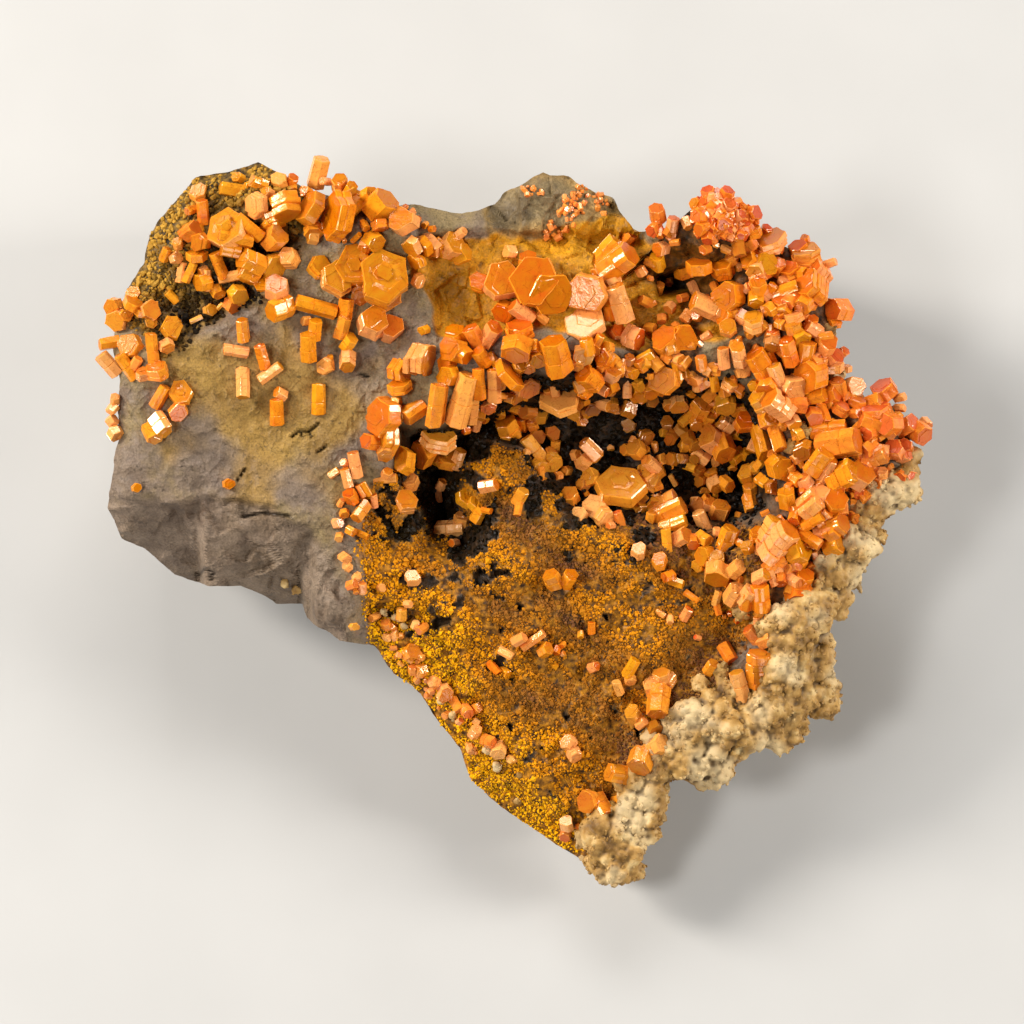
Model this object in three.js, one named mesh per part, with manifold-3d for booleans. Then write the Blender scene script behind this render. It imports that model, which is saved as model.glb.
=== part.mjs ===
// Vanadinite on matrix: a hand-sized mineral specimen that lies on its flat back.
// A rock with a hollow, a calcite crust along one edge, and clusters of six-sided crystals.
// The face is laid out as it is seen: u to the right, v up, d towards the viewer, in millimetres.
// That face leans back from level, and the flat underside lies on z = 0.
import * as THREE from "three";
import { mergeVertices } from "three/addons/utils/BufferGeometryUtils.js";
import Module from "manifold-3d";

const wasm = await Module();
wasm.setup();

// Driving dimensions, in millimetres and degrees.
const SPECIMEN_WIDTH = 125;
const FACE_TILT = 15;
const FACE_HEIGHT = 30;
const GAP = 0.3;
const RIM_ROUNDING = 4;
const RIM_DROP = 2.4;
const BASE_SHRINK = 0.17;
const SIDE_WAVE = 0.02;
const SIDE_WAVE_STEP = 0.9;
const SIDE_WAVE_SHIFT = 2;

// A crystal is sunk in its ground by this share of its half depth.
const SEATING = 0.55;
const CRYSTAL_SIDES = 6;

// Volumes in cubic millimetres: a crystal up to the first is one with the rock, a scrap is dropped.
const LONE_CRYSTAL = 36;
const SCRAP = 3;

// How finely the rock's face and sides are cut into cells, and how close corners are welded.
const FACE_CELLS = 21;
const SIDE_ROWS = 2;
const WELD = 1e-4;

// The face is read in columns and rows of a square view, whose middle is the origin.
const VIEW_MIDDLE = 512;
const VIEW_WIDTH_OF_SPECIMEN = 833;
const MM_PER_STEP = SPECIMEN_WIDTH / VIEW_WIDTH_OF_SPECIMEN;
const ROCK_MIDDLE = [480, 430];

// The rock's edge, and the parts of its face, as [column, row] corners.
const ROCK_EDGE = [
  [118, 380], [118, 440], [111, 482], [106, 509], [120, 540], [147, 551], [173, 575], [207, 587],
  [239, 587], [276, 603], [302, 604], [307, 619], [340, 640], [374, 645], [393, 674], [420, 694],
  [442, 727], [460, 748], [470, 782], [503, 810], [556, 846], [589, 866], [612, 866], [630, 840],
  [640, 790], [660, 765], [720, 755], [760, 735], [795, 715], [808, 680], [808, 640], [815, 600],
  [825, 570], [845, 545], [862, 515], [885, 485], [905, 470], [912, 440], [895, 405], [860, 395],
  [838, 370], [835, 340], [832, 310], [822, 280], [800, 255], [765, 235], [745, 210], [715, 195],
  [695, 205], [675, 225], [650, 232], [634, 232], [613, 197], [571, 177], [543, 172], [503, 191],
  [495, 203], [462, 214], [411, 205], [360, 205], [300, 185], [259, 162], [233, 171], [196, 177],
  [174, 201], [149, 234], [143, 262], [125, 291], [115, 315], [112, 345],
];
const DARK_CORNER = [
  [100, 300], [131, 270], [149, 225], [190, 165], [259, 150], [300, 185], [310, 235], [262, 285],
  [243, 309], [176, 344], [150, 345], [118, 330],
];
const STAINED_LEDGE = [[420, 235], [640, 235], [735, 270], [725, 335], [640, 345], [540, 330], [440, 330]];
const TOP_KNOB = [[485, 205], [503, 180], [543, 160], [613, 185], [640, 245], [560, 255], [495, 240]];
const VUG = [
  [395, 425], [440, 430], [480, 410], [520, 398], [600, 392], [690, 388], [745, 402], [765, 450],
  [762, 505], [735, 535], [650, 528], [575, 512], [545, 482], [520, 452], [488, 440], [470, 455],
  [452, 485], [470, 520], [462, 545], [432, 540], [415, 490],
];
const SMALL_CAVITY = [[655, 275], [690, 268], [692, 290], [660, 294]];
const OCHRE_SLOPE = [
  [370, 480], [430, 470], [470, 440], [500, 440], [540, 480], [575, 512], [650, 528], [735, 560],
  [745, 640], [700, 680], [640, 720], [610, 880], [540, 850], [440, 740], [380, 660], [365, 590],
];
const OCHRE_RIM = [
  [360, 600], [440, 620], [480, 700], [530, 790], [590, 850], [560, 880], [430, 760], [350, 650],
];

// How deep each part of the face lies, and how softly it is let in at its edge.
const HOLLOWS = [
  { outline: DARK_CORNER, depth: 1.8, soft: 1.5 },
  { outline: STAINED_LEDGE, depth: 2.4, soft: 1.5 },
  { outline: TOP_KNOB, depth: 3.2, soft: 2 },
  { outline: VUG, depth: 10, soft: 4 },
  { outline: SMALL_CAVITY, depth: 4, soft: 1 },
  { outline: OCHRE_SLOPE, depth: 2.6, soft: 3 },
  { outline: OCHRE_RIM, depth: 1.8, soft: 1.2 },
];

// Broken facets that fall away below a ridge line at an angle, and two long falls of the whole face.
const FACETS = [
  { ridge: [[100, 511], [198, 499]], fall: 50 },
  { ridge: [[200, 503], [310, 524]], fall: 24 },
  { ridge: [[223, 566], [300, 556]], fall: 40 },
];
const RIDGE_START = [-0.05, 0.05];
const RIDGE_END = [0.97, 1.07];
const LOWER_FALL = { row: 600, grade: 0.15 };
const RIGHT_FALL = { column: 640, grade: 0.14 };

// Crystal clusters. A mound [column, row, reach, height] lifts the rock under a heap of crystals.
// A crystal is [column, row, width over corners, length, lean, heading, rise]: lean is the angle
// between its axis and the line of sight, heading is the way its near end points, counted from
// the right, and rise lifts it over the crystals that it grew on.
const CLUSTERS = [
  {
    name: "left_edge_cluster", colour: "#f08c14", mound: [138, 342, 9, 1.2],
    crystals: [
      [132, 346, 4.5, 2.4, 40, 160, -2.2],
    ],
  },
  {
    name: "left_pair", colour: "#f08c14",
    crystals: [
      [160, 425, 3.4, 3.2, 60, 305],
    ],
  },
  {
    name: "upper_left_cluster", colour: "#f08a10", mound: [235, 245, 13, 2.6],
    crystals: [
      [228, 229, 7.2, 2.2, 40, 135], [252, 262, 4.0, 3.8, 58, 155, 1.0], [274, 266, 4.6, 1.8, 35, 330],
      [274, 238, 4.2, 3.2, 40, 40, 0.5],
    ],
  },
  {
    name: "upper_row", colour: "#ee9418", mound: [285, 202, 8, 1.6],
    crystals: [
      [257, 205, 4.7, 1.6, 46, 190], [285, 206, 5.6, 3.4, 64, 285], [311, 208, 6.1, 2.0, 65, 150],
      [317, 172, 3.0, 4.7, 66, 75, -1.5],
    ],
  },
  {
    name: "middle_left_prisms", colour: "#f28c10",
    crystals: [
      [277, 289, 4.6, 2.2, 35, 95], [280, 308, 3.8, 3.8, 57, 200], [316, 307, 2.6, 6.4, 78, 165],
      [308, 347, 3.0, 4.3, 66, 92], [374, 323, 5.2, 3.3, 27, 60],
    ],
  },
  {
    name: "rosette", colour: "#f09a14",
    crystals: [
      [336, 280, 6.2, 2.6, 18, 40], [384, 275, 9.6, 2.6, 14, 75, 0.5], [384, 291, 7.4, 1.6, 20, 280],
    ],
  },
  {
    name: "top_band", colour: "#ee8214", mound: [385, 222, 12, 2.0],
    crystals: [
      [338, 217, 8.8, 2.5, 66, 171], [351, 203, 5.4, 2.5, 48, 40, 0.5], [381, 207, 4.7, 3.9, 55, 45],
      [403, 222, 5.1, 2.4, 35, 140], [451, 244, 4.2, 2.6, 45, 30],
    ],
  },
  {
    name: "centre_left_cluster", colour: "#f28808", mound: [430, 420, 12, 1.6],
    crystals: [
      [420, 360, 7.0, 3.0, 64, 345], [383, 415, 7.0, 2.4, 50, 180], [414, 412, 3.2, 3.6, 70, 215],
      [437, 405, 3.3, 6.4, 70, 82], [462, 400, 3.7, 8.3, 71, 74, -0.3],
      [439, 440, 6.3, 2.2, 61, 80, 0.5], [422, 453, 4.6, 2.3, 46, 210], [403, 461, 4.2, 2.3, 40, 155],
    ],
  },
  {
    name: "centre_upper_cluster", colour: "#f08a12", mound: [475, 360, 9, 1.8],
    crystals: [
      [454, 351, 4.8, 2.4, 48, 165], [490, 335, 3.4, 3.6, 55, 60, 0.4], [507, 429, 4.3, 3.4, 54, 108],
    ],
  },
  {
    name: "centre_plates", colour: "#f49008", mound: [545, 290, 14, 2.2],
    crystals: [
      [503, 282, 7.0, 2.4, 15, 85, 0.8], [533, 283, 9.0, 2.6, 12, 85, 1.2], [551, 292, 7.5, 2.1, 16, 330],
      [585, 292, 7.3, 2.0, 19, 200, 0.5], [585, 322, 7.4, 1.8, 35, 100], [617, 264, 4.6, 5.6, 66, 35],
      [620, 303, 3.2, 5.8, 69, 108, 0.4], [633, 338, 4.0, 2.6, 60, 340],
    ],
  },
  {
    name: "centre_fan", colour: "#f28e0c", mound: [560, 362, 12, 2.4],
    crystals: [
      [518, 331, 5.5, 2.2, 61, 95, 0.8], [517, 350, 5.0, 2.8, 51, 255, 1.2],
      [556, 357, 4.6, 5.6, 62, 105, -0.2], [509, 375, 6.0, 1.4, 70, 40, 0.5],
      [528, 387, 4.5, 1.7, 43, 300], [589, 378, 4.0, 3.4, 50, 140, 1.0],
      [560, 399, 7.2, 1.5, 47, 97, 1.2], [664, 379, 5.1, 2.0, 25, 180],
    ],
  },
  {
    name: "vug_left_cluster", colour: "#c87818",
    crystals: [
      [621, 484, 8.1, 2.2, 38, 92], [594, 510, 4.8, 1.9, 25, 115],
    ],
  },
  {
    name: "right_of_centre", colour: "#ee8610", mound: [740, 330, 11, 1.6],
    crystals: [
      [665, 341, 4.8, 2.4, 40, 130], [684, 338, 5.3, 2.4, 17, 0], [700, 266, 4.6, 1.8, 65, 95],
      [722, 268, 4.2, 2.6, 45, 110], [729, 298, 5.2, 3.0, 31, 180], [710, 308, 3.6, 5.8, 73, 156],
      [761, 364, 3.4, 4.4, 63, 122, 0.5], [778, 378, 2.8, 4.6, 65, 110], [793, 388, 4.6, 2.6, 35, 330],
      [765, 265, 4.6, 2.4, 25, 30],
    ],
  },
  {
    name: "red_dome", colour: "#e05a30", mound: [722, 214, 8, 3.4],
    crystals: [
      [726, 194, 3.6, 2.6, 55, 70], [700, 217, 3.8, 2.6, 45, 170], [752, 213, 4.0, 2.8, 50, 10],
      [738, 245, 3.2, 4.8, 70, 280],
    ],
  },
  {
    name: "right_plates", colour: "#ea7a1a", mound: [808, 310, 11, 2.0],
    crystals: [
      [771, 242, 6.6, 2.2, 62, 110], [807, 254, 5.4, 2.2, 60, 100], [812, 289, 5.8, 4.0, 50, 140],
      [839, 310, 4.2, 3.4, 40, 180], [789, 351, 3.6, 4.2, 60, 105], [811, 376, 5.0, 3.2, 40, 200],
    ],
  },
  {
    name: "right_middle_cluster", colour: "#ee8210", mound: [785, 412, 9, 1.2],
    crystals: [
      [778, 406, 4.2, 4.6, 60, 140], [746, 420, 4.1, 2.4, 18, 60], [764, 441, 3.5, 5.2, 62, 285],
    ],
  },
  {
    name: "right_edge_cluster", colour: "#e8662a", mound: [892, 424, 8, 1.8],
    crystals: [
      [884, 391, 4.6, 2.2, 60, 120, -0.5], [889, 424, 4.6, 3.0, 35, 180], [906, 426, 3.4, 3.4, 55, 30],
      [921, 433, 3.6, 2.6, 45, 320],
    ],
  },
  {
    name: "right_blocks", colour: "#f0840c", mound: [830, 462, 10, 1.4],
    crystals: [
      [838, 443, 4.8, 6.4, 68, 10], [819, 462, 3.2, 4.4, 60, 55], [843, 476, 4.6, 4.6, 60, 25, 0.5],
      [860, 474, 5.6, 2.6, 50, 40], [779, 468, 4.8, 2.8, 28, 330, -0.4],
    ],
  },
  {
    name: "lower_right_fan", colour: "#f0860c", mound: [824, 518, 8, 1.6],
    crystals: [
      [834, 502, 5.0, 2.6, 30, 60], [812, 508, 3.2, 3.6, 62, 40, 0.5], [834, 526, 4.4, 3.4, 60, 25],
      [834, 545, 4.0, 2.6, 60, 20],
    ],
  },
  {
    name: "lower_right_prisms", colour: "#f28c10",
    crystals: [
      [778, 544, 4.8, 6.0, 66, 50, 0.8], [798, 551, 4.8, 2.4, 60, 20], [727, 540, 3.2, 4.2, 65, 70],
    ],
  },
  {
    name: "lower_right_discs", colour: "#f29814",
    crystals: [
      [716, 574, 5.0, 2.4, 58, 265, 0.4], [735, 594, 3.6, 3.2, 45, 60], [761, 598, 2.9, 4.4, 65, 95, -0.8],
    ],
  },
  {
    name: "red_pair", colour: "#e85e20",
    crystals: [
      [798, 596, 5.0, 2.0, 62, 275],
    ],
  },
  {
    name: "vug_lower_cluster", colour: "#e88a1c",
    crystals: [
      [669, 512, 3.4, 5.4, 68, 25, 0.5],
    ],
  },
  {
    name: "vug_right_cluster", colour: "#d07c18",
    crystals: [
      [712, 437, 5.4, 3.4, 45, 150], [724, 448, 4.6, 3.0, 55, 290, 0.5], [703, 406, 3.9, 2.6, 35, 60],
      [727, 402, 4.0, 2.6, 52, 278],
    ],
  },
  {
    name: "crust_crystals", colour: "#ee8c18",
    crystals: [
      [759, 670, 4.6, 5.6, 62, 90], [740, 687, 3.0, 5.0, 70, 105], [658, 701, 3.6, 4.6, 62, 265, 0.6],
      [656, 747, 4.4, 3.4, 45, 30], [641, 761, 4.2, 3.0, 50, 250, 0.4], [618, 775, 3.6, 3.6, 55, 170],
      [602, 806, 3.0, 3.8, 65, 300, 0.5],
    ],
  },
  {
    name: "slope_crystals", colour: "#f09a28",
    crystals: [
      [406, 502, 4.3, 2.4, 25, 60], [451, 530, 3.0, 4.6, 68, 5],
    ],
  },
];

// Lumps of the crust, as [column, row, diameter], each squashed a little along the line of sight.
const CRUST_LUMPS = [
  [902, 487, 5.5], [884, 495, 6.0], [866, 512, 6.5], [854, 540, 8.0], [836, 566, 8.0], [828, 600, 7.0],
  [806, 612, 8.0], [788, 630, 8.0], [808, 656, 9.5], [784, 666, 8.5], [808, 692, 9.0], [780, 700, 9.5],
  [778, 724, 9.0], [750, 722, 9.0], [724, 730, 9.0], [712, 758, 9.0], [690, 752, 8.5], [692, 722, 7.0],
  [664, 758, 7.5], [646, 790, 8.0], [634, 822, 8.5], [608, 834, 7.5], [618, 856, 9.0],
];
const LUMP_SQUASH = 0.85;
const LUMP_SEAT = 0.12;

// The crust's one spike, as [column, row, width, length], with the way it points.
const CRUST_SPIKE = [855, 576, 3.2, 5.4];
const SPIKE_TURN = -157;
const SPIKE_DEPTH = 1;
const SPIKE_SIDES = 7;

const CRYSTAL_ROUGHNESS = 0.3;
const CRUST_LOOK = { colour: "#cbb88f", roughness: 0.7 };
const ROCK_LOOK = { colour: "#7d6a4e", roughness: 0.85 };

const turned = THREE.MathUtils.degToRad(FACE_TILT);
const across = (column) => (column - VIEW_MIDDLE) * MM_PER_STEP;
const upward = (row) => (VIEW_MIDDLE - row) * MM_PER_STEP;
const onFace = ([column, row]) => [across(column), upward(row)];

// From the face's u, v, d to the part's own frame.
function place(u, v, d) {
  const y = v * Math.cos(turned) - d * Math.sin(turned);
  const z = v * Math.sin(turned) + d * Math.cos(turned) + FACE_HEIGHT;
  return new THREE.Vector3(u, y, z);
}

// The depth, under a place on the face, at which the flat underside lies.
const undersideDepth = (v) => -(FACE_HEIGHT + v * Math.sin(turned)) / Math.cos(turned);

// Signed distance to a closed outline: positive inside it.
function insideBy(outline, u, v) {
  let nearest = Infinity;
  let inside = false;
  outline.forEach(([ax, ay], i) => {
    const [bx, by] = outline[(i + 1) % outline.length];
    const along = ((u - ax) * (bx - ax) + (v - ay) * (by - ay)) / ((bx - ax) ** 2 + (by - ay) ** 2);
    const t = THREE.MathUtils.clamp(along, 0, 1);
    nearest = Math.min(nearest, Math.hypot(u - ax - t * (bx - ax), v - ay - t * (by - ay)));
    const crosses = ay > v !== by > v && u < ax + ((v - ay) * (bx - ax)) / (by - ay);
    inside = crosses ? !inside : inside;
  });
  return inside ? nearest : -nearest;
}

const edge = ROCK_EDGE.map(onFace);

// The depth of one hollow at a place on the face.
const hollows = HOLLOWS.map(({ outline, depth, soft }) => {
  const corners = outline.map(onFace);
  return (u, v) => depth * THREE.MathUtils.smoothstep(insideBy(corners, u, v), -soft, soft);
});

// How far a broken facet has fallen away, between its ridge's two ends.
const facets = FACETS.map(({ ridge, fall }) => {
  const [[ax, ay], [bx, by]] = ridge.map(onFace);
  const grade = Math.tan(THREE.MathUtils.degToRad(fall));
  return (u, v) => {
    const t = (u - ax) / (bx - ax);
    const below = Math.max(0, ay + t * (by - ay) - v);
    const started = THREE.MathUtils.smoothstep(t, ...RIDGE_START);
    const ended = THREE.MathUtils.smoothstep(t, ...RIDGE_END);
    return below * grade * started * (1 - ended);
  };
});

function moundHeight({ mound }, u, v) {
  if (!mound) return 0;
  const [column, row, reach, height] = mound;
  const far = Math.hypot(u - across(column), v - upward(row)) / reach;
  return height * Math.max(0, 1 - far * far) ** 2;
}

// Gentle unevenness of broken rock: winding swells, and broad slanting ones under them.
const SWELL = { height: 0.5, u: 3.1, v: 3.7, phase: 0.9, winding: 1.4, windingV: 5.3 };
const BROAD_SWELL = { height: 0.35, u: 6.7, v: 4.9 };
function unevenness(u, v) {
  const winding = SWELL.winding * Math.sin(v / SWELL.windingV);
  const swell = SWELL.height * Math.sin(u / SWELL.u + winding) * Math.sin(v / SWELL.v + SWELL.phase);
  return swell + BROAD_SWELL.height * Math.sin(u / BROAD_SWELL.u - v / BROAD_SWELL.v);
}

// How far each place on the rock's face stands towards the viewer.
function relief(u, v) {
  let d = unevenness(u, v);
  d -= LOWER_FALL.grade * Math.max(0, upward(LOWER_FALL.row) - v);
  d -= RIGHT_FALL.grade * Math.max(0, u - across(RIGHT_FALL.column));
  for (const depth of [...hollows, ...facets]) d -= depth(u, v);
  for (const cluster of CLUSTERS) d += moundHeight(cluster, u, v);
  const fromRim = THREE.MathUtils.clamp(insideBy(edge, u, v) / RIM_ROUNDING, 0, 1);
  return d - RIM_DROP * (1 - fromRim) ** 2;
}

// Distance from the rock's middle to its edge, in a given direction.
function edgeReach(angle) {
  const [mu, mv] = onFace(ROCK_MIDDLE);
  const [du, dv] = [Math.cos(angle), Math.sin(angle)];
  let reach = 0;
  edge.forEach(([ax, ay], i) => {
    const [bx, by] = edge[(i + 1) % edge.length];
    const cross = du * (by - ay) - dv * (bx - ax);
    if (Math.abs(cross) < 1e-9) return;
    const far = ((ax - mu) * (by - ay) - (ay - mv) * (bx - ax)) / cross;
    const t = ((ax - mu) * dv - (ay - mv) * du) / cross;
    if (t >= 0 && t <= 1) reach = Math.max(reach, far);
  });
  return reach;
}

// A square of cells, bent to the rock's edge: (a, b) run from -1 to 1 and the rim is their outer ring.
// Only the rim moves out in a swollen copy.
function facePlace(a, b, swell) {
  const ring = Math.max(Math.abs(a), Math.abs(b));
  if (ring === 0) return onFace(ROCK_MIDDLE);
  const turn = Math.abs(a) > Math.abs(b) ? b / a : 2 - a / b;
  const half = Math.abs(a) > Math.abs(b) ? a < 0 : b < 0;
  const angle = (turn * Math.PI) / 4 + (half ? Math.PI : 0);
  const far = ring * edgeReach(angle) + (ring === 1 ? swell : 0);
  const [mu, mv] = onFace(ROCK_MIDDLE);
  return [mu + far * Math.cos(angle), mv + far * Math.sin(angle)];
}

// The rock as one closed skin, or a slightly swollen copy of it that keeps neighbours clear.
function rockGeometry(swell) {
  const points = [];
  const triangles = [];
  const side = FACE_CELLS + 1;
  const cell = (index) => (2 * index) / FACE_CELLS - 1;
  const reliefAt = (i, j) => relief(...facePlace(cell(i), cell(j), 0)) + swell;
  for (let j = 0; j < side; j++) {
    for (let i = 0; i < side; i++) {
      const [u, v] = facePlace(cell(i), cell(j), swell);
      points.push(place(u, v, reliefAt(i, j)));
    }
  }
  const quad = (p, q, r, s) => triangles.push(p, q, r, p, r, s);
  for (let j = 0; j < FACE_CELLS; j++) {
    for (let i = 0; i < FACE_CELLS; i++) {
      const p = j * side + i;
      quad(p, p + 1, p + side + 1, p + side);
    }
  }
  const last = FACE_CELLS;
  const rim = [];
  for (let k = 0; k < last; k++) rim.push(k);
  for (let k = 0; k < last; k++) rim.push(k * side + last);
  for (let k = last; k > 0; k--) rim.push(last * side + k);
  for (let k = last; k > 0; k--) rim.push(k * side);

  const [mu, mv] = onFace(ROCK_MIDDLE);
  const places = rim.map((index) => {
    const i = index % side;
    const j = Math.floor(index / side);
    return [...facePlace(cell(i), cell(j), swell), reliefAt(i, j)];
  });
  let upper = rim;
  for (let row = 1; row <= SIDE_ROWS; row++) {
    const t = row / SIDE_ROWS;
    const lower = places.map(([u, v, start], k) => {
      const wave = Math.abs(Math.sin(k * SIDE_WAVE_STEP + row * SIDE_WAVE_SHIFT));
      const shrink = 1 - BASE_SHRINK * t * t - (row < SIDE_ROWS ? SIDE_WAVE * wave : 0);
      const [su, sv] = [mu + (u - mu) * shrink, mv + (v - mv) * shrink];
      points.push(place(su, sv, start + (undersideDepth(sv) - start) * t));
      return points.length - 1;
    });
    lower.forEach((corner, k) => {
      const next = (k + 1) % lower.length;
      quad(upper[k], corner, lower[next], upper[next]);
    });
    upper = lower;
  }
  points.push(place(mu, mv, undersideDepth(mv)));
  const middle = points.length - 1;
  upper.forEach((corner, k) => triangles.push(corner, middle, upper[(k + 1) % upper.length]));

  const geometry = new THREE.BufferGeometry().setFromPoints(points);
  geometry.setIndex(triangles);
  return geometry;
}

// One crystal, or the slightly larger space that it keeps clear.
function crystalGeometry([column, row, width, length, lean, heading, rise = 0], swell) {
  const [u, v] = onFace([column, row]);
  const leanTurn = THREE.MathUtils.degToRad(lean);
  const headingTurn = THREE.MathUtils.degToRad(heading);
  const [sinLean, cosLean] = [Math.sin(leanTurn), Math.cos(leanTurn)];
  const halfDepth = (length * cosLean + width * sinLean) / 2;
  const d = relief(u, v) + SEATING * halfDepth + rise;
  const [hu, hv] = [Math.cos(headingTurn), Math.sin(headingTurn)];
  const origin = place(0, 0, 0);
  const direction = (x, y, z) => place(x, y, z).sub(origin);
  const axis = direction(sinLean * hu, sinLean * hv, cosLean);
  const front = direction(-cosLean * hu, -cosLean * hv, sinLean);
  const sideways = new THREE.Vector3().crossVectors(axis, front);
  const spin = THREE.MathUtils.degToRad((column * 7 + row * 13) % (360 / CRYSTAL_SIDES));
  const radius = width / 2 + swell;
  const geometry = new THREE.CylinderGeometry(radius, radius, length + 2 * swell, CRYSTAL_SIDES);
  geometry.rotateY(spin);
  geometry.applyMatrix4(new THREE.Matrix4().makeBasis(sideways, axis, front).setPosition(place(u, v, d)));
  return geometry;
}

function lumpGeometry([column, row, diameter]) {
  const [u, v] = onFace([column, row]);
  const geometry = new THREE.IcosahedronGeometry(diameter / 2, 0);
  geometry.scale(1, 1, LUMP_SQUASH);
  geometry.rotateZ(column);
  geometry.rotateX(turned);
  const at = place(u, v, relief(u, v) + LUMP_SEAT * diameter);
  return geometry.translate(at.x, at.y, at.z);
}

function spikeGeometry([column, row, width, length]) {
  const [u, v] = onFace([column, row]);
  const geometry = new THREE.ConeGeometry(width / 2, length, SPIKE_SIDES);
  geometry.rotateZ(THREE.MathUtils.degToRad(SPIKE_TURN));
  geometry.rotateX(turned);
  const at = place(u, v, relief(u, v) - SPIKE_DEPTH);
  return geometry.translate(at.x, at.y, at.z);
}

// Solids for joining and cutting.
function solid(geometry) {
  const bare = geometry.clone();
  bare.deleteAttribute("normal");
  bare.deleteAttribute("uv");
  const merged = mergeVertices(bare, WELD);
  return new wasm.Manifold(
    new wasm.Mesh({
      numProp: 3,
      vertProperties: new Float32Array(merged.attributes.position.array),
      triVerts: new Uint32Array(merged.index.array),
    }),
  );
}
const join = (solids) => solids.reduce((whole, one) => whole.add(one));

// A joined solid's separate bodies, largest first.
function bodies(whole) {
  const mesh = whole.getMesh();
  const corner = (i) => new THREE.Vector3().fromArray(mesh.vertProperties, i * mesh.numProp);
  const root = Array.from({ length: mesh.vertProperties.length / mesh.numProp }, (_, i) => i);
  const find = (i) => {
    let top = i;
    while (root[top] !== top) top = root[top];
    root[i] = top;
    return top;
  };
  for (let t = 0; t < mesh.triVerts.length; t += 3) {
    const first = find(mesh.triVerts[t]);
    root[find(mesh.triVerts[t + 1])] = first;
    root[find(mesh.triVerts[t + 2])] = first;
  }
  const found = new Map();
  for (let t = 0; t < mesh.triVerts.length; t += 3) {
    const key = find(mesh.triVerts[t]);
    if (!found.has(key)) found.set(key, { points: [], volume: 0 });
    const body = found.get(key);
    const [p, q, r] = [0, 1, 2].map((k) => corner(mesh.triVerts[t + k]));
    body.points.push(p, q, r);
    body.volume += p.dot(q.clone().cross(r)) / 6;
  }
  return [...found.values()]
    .filter((body) => body.volume > SCRAP)
    .sort((one, other) => other.volume - one.volume)
    .map(({ points, volume }) => ({ geometry: new THREE.BufferGeometry().setFromPoints(points), volume }));
}

const specimen = new THREE.Group();
specimen.name = "vanadinite_on_matrix";

function addPiece(name, geometry, { colour, roughness }) {
  const whole = mergeVertices(geometry, WELD);
  whole.computeVertexNormals();
  const material = new THREE.MeshStandardMaterial({ color: colour, roughness, metalness: 0 });
  const piece = new THREE.Mesh(whole, material);
  piece.name = name;
  specimen.add(piece);
}

// Each body of a solid becomes a piece, numbered where there are several.
function addBodies(name, found, look) {
  found.forEach(({ geometry }, k) => {
    addPiece(found.length > 1 ? `${name}_${k + 1}` : name, geometry, look);
  });
}

// The crystals. Those that grew through each other are one solid, clear of the rock and of the
// clusters before it. A small crystal that stands alone is one with the rock.
let rock = solid(rockGeometry(0));
const clearOfRock = solid(rockGeometry(GAP)).add(rock);
const spaceTaken = [];
const clearOf = (whole, spaces) => spaces.reduce((rest, space) => rest.subtract(space), whole);
for (const { name, colour, crystals } of CLUSTERS) {
  const cluster = clearOf(join(crystals.map((crystal) => solid(crystalGeometry(crystal, 0)))), spaceTaken);
  const grown = bodies(cluster);
  const large = grown.filter(({ volume }) => volume > LONE_CRYSTAL);
  const lone = grown.filter(({ volume }) => volume <= LONE_CRYSTAL);
  rock = lone.reduce((whole, { geometry }) => whole.add(solid(geometry)), rock);
  const seated = large.flatMap(({ geometry }) => bodies(solid(geometry).subtract(clearOfRock)));
  addBodies(name, seated, { colour, roughness: CRYSTAL_ROUGHNESS });
  spaceTaken.push(join(crystals.map((crystal) => solid(crystalGeometry(crystal, GAP)))));
}

// The crust, clear of the rock and of every crystal.
const lumpSolids = CRUST_LUMPS.map((lump) => solid(lumpGeometry(lump)));
const lumps = join([...lumpSolids, solid(spikeGeometry(CRUST_SPIKE))]);
addBodies("calcite_crust", bodies(clearOf(lumps.subtract(clearOfRock), spaceTaken)), CRUST_LOOK);

// The rock.
addBodies("matrix", bodies(rock), ROCK_LOOK);

export default specimen;
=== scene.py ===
"""Looks for a vanadinite specimen: orange six-sided crystals on iron-stained rock with a calcite crust.

Sizes are in millimetres and become metres when a mesh is made. The face is laid out as it is seen:
u to the right, v up, d towards the viewer. It leans back from level, and the underside lies on z = 0.
"""
import math
import re

import bmesh
import bpy
import numpy as np
from mathutils import Matrix, Vector, noise


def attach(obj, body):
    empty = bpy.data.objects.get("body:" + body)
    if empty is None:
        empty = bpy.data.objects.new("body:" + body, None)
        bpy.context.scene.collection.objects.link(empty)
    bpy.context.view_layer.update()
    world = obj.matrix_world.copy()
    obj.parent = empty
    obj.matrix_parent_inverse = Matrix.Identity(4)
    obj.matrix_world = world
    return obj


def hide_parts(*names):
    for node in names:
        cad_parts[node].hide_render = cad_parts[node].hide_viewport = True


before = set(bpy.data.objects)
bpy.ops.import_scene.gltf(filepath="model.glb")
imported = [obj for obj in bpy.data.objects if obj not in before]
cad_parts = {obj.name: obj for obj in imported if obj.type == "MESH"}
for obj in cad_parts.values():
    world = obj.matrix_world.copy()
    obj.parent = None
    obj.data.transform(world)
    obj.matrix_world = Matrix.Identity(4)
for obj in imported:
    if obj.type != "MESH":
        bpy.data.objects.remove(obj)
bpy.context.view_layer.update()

# The face, in millimetres and degrees, as the solids have it.
SPECIMEN_WIDTH = 125
FACE_TILT = math.radians(15)
FACE_HEIGHT = 30
RIM_ROUNDING = 4
RIM_DROP = 2.4
BASE_SHRINK = 0.17
VUG_DEPTH = 10
SEATING = 0.55
METRES = 0.001

# The face is read in columns and rows of a square view, whose middle is the origin.
VIEW_SIZE = 1024
VIEW_MIDDLE = 512
SPECIMEN_STEPS = 833
MM_PER_STEP = SPECIMEN_WIDTH / SPECIMEN_STEPS
ROCK_MIDDLE = (480, 430)

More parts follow.
